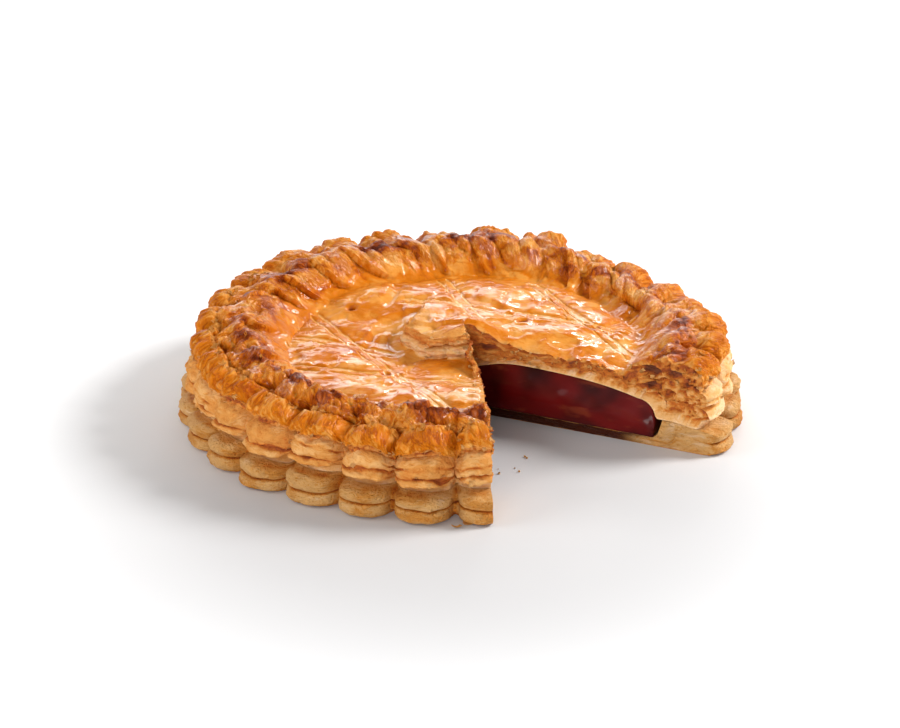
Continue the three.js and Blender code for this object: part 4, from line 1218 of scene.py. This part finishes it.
FLAKE_HALF_LENGTH, FLAKE_HALF_WIDTH, FLAKE_THICKNESS = 1.7, 1.1, 0.14
CRUMB_RADIUS = 0.6
FLOOR_CLEARANCE = 0.00002


def scatter_tree():
    """Copies of one shape on given places, each turned and sized by chance."""
    tree = bpy.data.node_groups.new("scatter", "GeometryNodeTree")
    takes = [("Places", "Geometry"), ("Shape", "Object"), ("Smallest", "Float"), ("Largest", "Float")]
    for label, kind in [*takes, ("Tilt", "Float"), ("Seed", "Int"), ("Finish", "Material")]:
        tree.interface.new_socket(label, in_out="INPUT", socket_type="NodeSocket" + kind)
    tree.interface.new_socket("Pieces", in_out="OUTPUT", socket_type="NodeSocketGeometry")
    given = wires(tree.nodes.new("NodeGroupInput"))
    gives = tree.nodes.new("NodeGroupOutput").inputs
    tilt, seed = given["Tilt"], given["Seed"]
    shape = put(tree, "GeometryNodeObjectInfo", {"Object": given["Shape"]}, output="Geometry")
    vector = {"data_type": "FLOAT_VECTOR"}
    named = {"Name": "lean"}
    lean = put(tree, "GeometryNodeInputNamedAttribute", named, output="Attribute", **vector)
    upright = put(tree, "FunctionNodeAlignRotationToVector", {"Vector": lean}, axis="Z")
    back = tilt * -1.0
    wired = {0: together(tree, back, back), 1: together(tree, tilt, tilt, 6.28), "Seed": seed}
    spin = put(tree, "FunctionNodeRandomValue", wired, **vector)
    turn = put(tree, "FunctionNodeEulerToRotation", {0: spin})
    wired = {"Rotation": upright, "Rotate By": turn}
    turned = put(tree, "FunctionNodeRotateRotation", wired, rotation_space="LOCAL")
    wired = {2: given["Smallest"], 3: given["Largest"], "Seed": seed}
    size = put(tree, "FunctionNodeRandomValue", wired, output=1, data_type="FLOAT")
    wired = {"Points": given["Places"], "Instance": shape, "Rotation": turned, "Scale": size}
    copies = put(tree, "GeometryNodeInstanceOnPoints", wired)
    real = put(tree, "GeometryNodeRealizeInstances", {0: copies})
    wired = {"Geometry": real, "Material": given["Finish"]}
    put(tree, "GeometryNodeSetMaterial", wired).to(gives["Pieces"])
    return tree


SCATTER = scatter_tree()


def plain_object(name, points, faces, **marks):
    """A mesh in metres from points in millimetres, with marks that materials or trees read."""
    mesh = bpy.data.meshes.new(name)
    mesh.from_pydata([tuple(point) for point in np.asarray(points) / 1000], [], faces)
    for kind, values in marks.items():
        vector = np.ndim(values) == 2
        found = mesh.attributes.new(kind, "FLOAT_VECTOR" if vector else "FLOAT", "POINT")
        found.data.foreach_set("vector" if vector else "value", np.ravel(np.asarray(values, float)))
    return in_scene(name, mesh)


def flake_shape(chooser, bake):
    """A torn leaf a few millimetres across, curled along its length, with a back and an edge."""
    wide, deep = 5, 4
    length = np.linspace(-FLAKE_HALF_LENGTH, FLAKE_HALF_LENGTH, wide)
    width = np.linspace(-FLAKE_HALF_WIDTH, FLAKE_HALF_WIDTH, deep)
    x, y = np.meshgrid(length, width, indexing="ij")
    x, y = x + chooser.uniform(-0.3, 0.3, x.shape), y + chooser.uniform(-0.25, 0.25, x.shape)
    z = 0.22 * x**2 + 0.18 * y**2 + chooser.uniform(-0.08, 0.08, x.shape)
    front = np.stack([x, y, z], -1).reshape(-1, 3)
    points = np.concatenate([front, front - (0, 0, FLAKE_THICKNESS)])
    under = wide * deep
    at = np.arange(under).reshape(wide, deep).tolist()
    faces = []
    for i in range(wide - 1):
        for j in range(deep - 1):
            faces.append((at[i][j], at[i + 1][j], at[i + 1][j + 1], at[i][j + 1]))
    faces += [tuple(corner + under for corner in face[::-1]) for face in faces]
    edge = [row[0] for row in at] + at[-1][1:] + [row[-1] for row in at[-2::-1]] + at[0][-2:0:-1]
    faces += [(a, a + under, b + under, b) for a, b in zip(edge, edge[1:] + edge[:1])]
    return plain_object("flake", points, faces, bake=np.full(len(points), bake))


def crumb_shape(chooser, bake):
    ball = bmesh.new()
    bmesh.ops.create_icosphere(ball, subdivisions=2, radius=CRUMB_RADIUS)
    points = np.array([tuple(v.co) for v in ball.verts])
    points = points * chooser.uniform(0.4, 1.3, (len(points), 1))
    faces = [tuple(v.index for v in face.verts) for face in ball.faces]
    ball.free()
    return plain_object("crumb", points, faces, bake=np.full(len(points), bake))


def scatter(name, shape, spots, leans, sizes, tilt, seed):
    """Copies of the shape at the spots, each with its back to the surface, as one plain mesh."""
    places = plain_object(name, spots, [], lean=leans)
    modifier = places.modifiers.new("scatter", "NODES")
    modifier.node_group = SCATTER
    settings = {"Shape": shape, "Smallest": sizes[0], "Largest": sizes[1], "Tilt": tilt}
    settings |= {"Seed": seed, "Finish": DRY_PASTRY}
    for item in SCATTER.interface.items_tree:
        if item.in_out == "INPUT" and item.name in settings:
            modifier[item.identifier] = settings[item.name]
    places.update_tag()
    ready = places.evaluated_get(bpy.context.evaluated_depsgraph_get())
    mesh = bpy.data.meshes.new_from_object(ready)
    mesh.name = name
    for vertex in mesh.vertices:
        vertex.co.z = max(vertex.co.z, FLOOR_CLEARANCE)
    places.modifiers.clear()
    places.data = mesh
    bpy.data.objects.remove(shape)
    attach(places, "root")
    print(name, len(mesh.polygons), "faces")


def lid_surface():
    """The places of the finished lid, and the way it faces at each."""
    mesh = LID.data
    at, out = np.empty(3 * len(mesh.vertices)), np.empty(3 * len(mesh.vertices))
    mesh.vertices.foreach_get("co", at)
    mesh.vertices.foreach_get("normal", out)
    return at.reshape(-1, 3) * 1000, out.reshape(-1, 3)


def loose_pieces():
    chooser = np.random.default_rng(41)
    at, out = lid_surface()
    x, y, z = at.T
    radius, turn = np.hypot(x, y), round_angle(x, y)
    from_corner = np.arctan2(y - APEX[1], x - APEX[0])
    along = np.hypot(x - APEX[0], y - APEX[1])
    off_cut = [np.abs(along * np.sin(from_corner - cut)) for cut in (CUT_RIGHT, CUT_LEFT)]
    in_cut = np.cos(from_corner - np.radians(305)) > 0.6
    at_cut = (along > 8) & (np.minimum(*off_cut) < 1.2) & in_cut
    seen, near = out[:, 2] > 0.1, np.cos(turn - RIM_FACES) > -0.3
    # At the torn edges of the caps, on the rim, along the cuts and on the side: where, how many,
    # their sizes, how long they have baked.
    places = [
        (seen & near & (radius > 110) & (radius < 117) & (z > 34), 70, (0.5, 1.1), 0.36),
        (seen & near & (radius > 94) & (radius < 110), 40, (0.3, 0.8), 0.44),
        (seen & at_cut & (z > 33), 34, (0.3, 0.8), 0.24),
        (~seen & (radius > 116) & (z > 17) & (z < 36) & ~at_cut, 120, (0.4, 0.9), 0.20),
    ]
    for number, (where, count, sizes, bake) in enumerate(places):
        picked = chooser.choice(np.flatnonzero(where), count, replace=False)
        shape = flake_shape(chooser, bake)
        spots = at[picked] - 0.05 * out[picked]
        scatter(f"flakes_{number + 1}", shape, spots, out[picked], sizes, 0.5, number)
    torn = at_cut & (along > 20) & (along < 46) & (z > 29) & (out[:, 2] > -0.2) & (out[:, 2] < 0.6)
    picked = chooser.choice(np.flatnonzero(torn), 26, replace=False)
    fallen = [chooser.uniform(10, 34, 7), chooser.uniform(-76, -52, 7), np.full(7, 0.4)]
    spots = np.concatenate([at[picked] + 0.3 * out[picked], np.stack(fallen, axis=-1)])
    up = (0, 0, 1)
    scatter("crumbs", crumb_shape(chooser, 0.24), spots, 0 * spots + up, (0.5, 1.3), 3.0, 9)
    dropped = np.array([(-2.0, -131.0, 0.35), (3.5, -127.0, 0.35)])
    shape = flake_shape(chooser, 0.3)
    scatter("flakes_dropped", shape, dropped, 0 * dropped + up, (0.9, 1.5), 0.2, 5)


loose_pieces()


# ---- Floor, light and camera -------------------------------------------------------------------
# A plain white sweep with a soft shadow painted grey on it round and in front of the cake, under soft
# lamps from the right, the left and the front, with a bright wall behind that the glaze mirrors.

FLOOR_REACH = 6.0
PAINTED_SHADOW_GREY, WHITE_PAPER = (0.62, 0.61, 0.61, 1), (0.93, 0.93, 0.93, 1)
# Name, place, width across and watts.
LAMPS = [
    ("key", (1.4, 0.35, 1.0), 0.7, 38),
    ("fill", (-1.3, -0.3, 0.8), 1.2, 9),
    ("front", (-0.4, -1.8, 0.45), 1.0, 20),
    ("glint_back", (0.35, 2.0, 1.0), 0.22, 3),
    ("glint_left", (-0.9, 1.6, 1.1), 0.18, 1),
]
LAMPS_AIM = Vector((0, 0, 0.02))
CAMERA_TILT, CAMERA_FAR, CAMERA_LENS = np.radians(22.6), 2.6, 226.4
CAMERA_AIM = np.array([-0.0048, 0.000538, 0.0232925])


def floor():
    mesh = bpy.data.meshes.new("floor")
    corners = [(-1, -1), (1, -1), (1, 1), (-1, 1)]
    mesh.from_pydata([(FLOOR_REACH * x, FLOOR_REACH * y, 0) for x, y in corners], [], [range(4)])
    material, tree, sockets = surface("white_paper", Roughness=0.9)
    wired = {0: spot_on(tree), 1: (0, -0.12, 0)}
    away = put(tree, "ShaderNodeVectorMath", wired, output="Value", operation="DISTANCE")
    # Painted shadow: the paper is grey near and in front of the cake and white further off.
    paper = blend_colour(between(away, 0.08, 0.26), PAINTED_SHADOW_GREY, WHITE_PAPER)
    paper.to(sockets["Base Color"])
    mesh.materials.append(material)
    in_scene("floor", mesh)


def soft_lamp(name, spot, size, power):
    lamp = bpy.data.lights.new(name, "AREA")
    lamp.shape, lamp.size, lamp.energy = "DISK", size, power
    made = in_scene(name, lamp)
    made.location = spot
    made.rotation_euler = (made.location - LAMPS_AIM).to_track_quat("Z", "Y").to_euler()


def white_room():
    """A bright wall behind the cake, dimmer light from all round, and white to the camera."""
    world = bpy.data.worlds.new("white_room")
    world.use_nodes = True
    tree = world.node_tree
    x, y, z = apart(put(tree, "ShaderNodeTexCoord", output="Generated"))
    wall = between(y, 0.15, 0.6) * between(z, 0.55, 0.38)
    wall = wall * between(abs(x + 0.12), 0.46, 0.10, 0.2, 1.0)
    path = wires(put(tree, "ShaderNodeLightPath", output=None))
    bright = 3.1 * wall + between(path["Is Glossy Ray"], 0, 1, 0.30, 0.06)
    wired = {0: path["Is Camera Ray"], 2: bright, 3: 1.0}
    background = tree.nodes["Background"].inputs
    put(tree, "ShaderNodeMix", wired, data_type="FLOAT").to(background["Strength"])
    background["Color"].default_value = (1, 1, 1, 1)
    bpy.context.scene.world = world


def camera():
    """Far off and low, as the photo was taken: 22.6 degrees above the floor, from the front."""
    lens = bpy.data.cameras.new("camera")
    lens.sensor_width, lens.lens, lens.clip_end = 36, CAMERA_LENS, 100
    made = in_scene("camera", lens)
    away = CAMERA_FAR * np.array([0, -np.cos(CAMERA_TILT), np.sin(CAMERA_TILT)])
    made.location = CAMERA_AIM + away
    made.rotation_euler = (np.pi / 2 - CAMERA_TILT, 0, 0)
    bpy.context.scene.camera = made


floor()
for lamp in LAMPS:
    soft_lamp(*lamp)
white_room()
bpy.context.scene.view_settings.view_transform = "Standard"
camera()
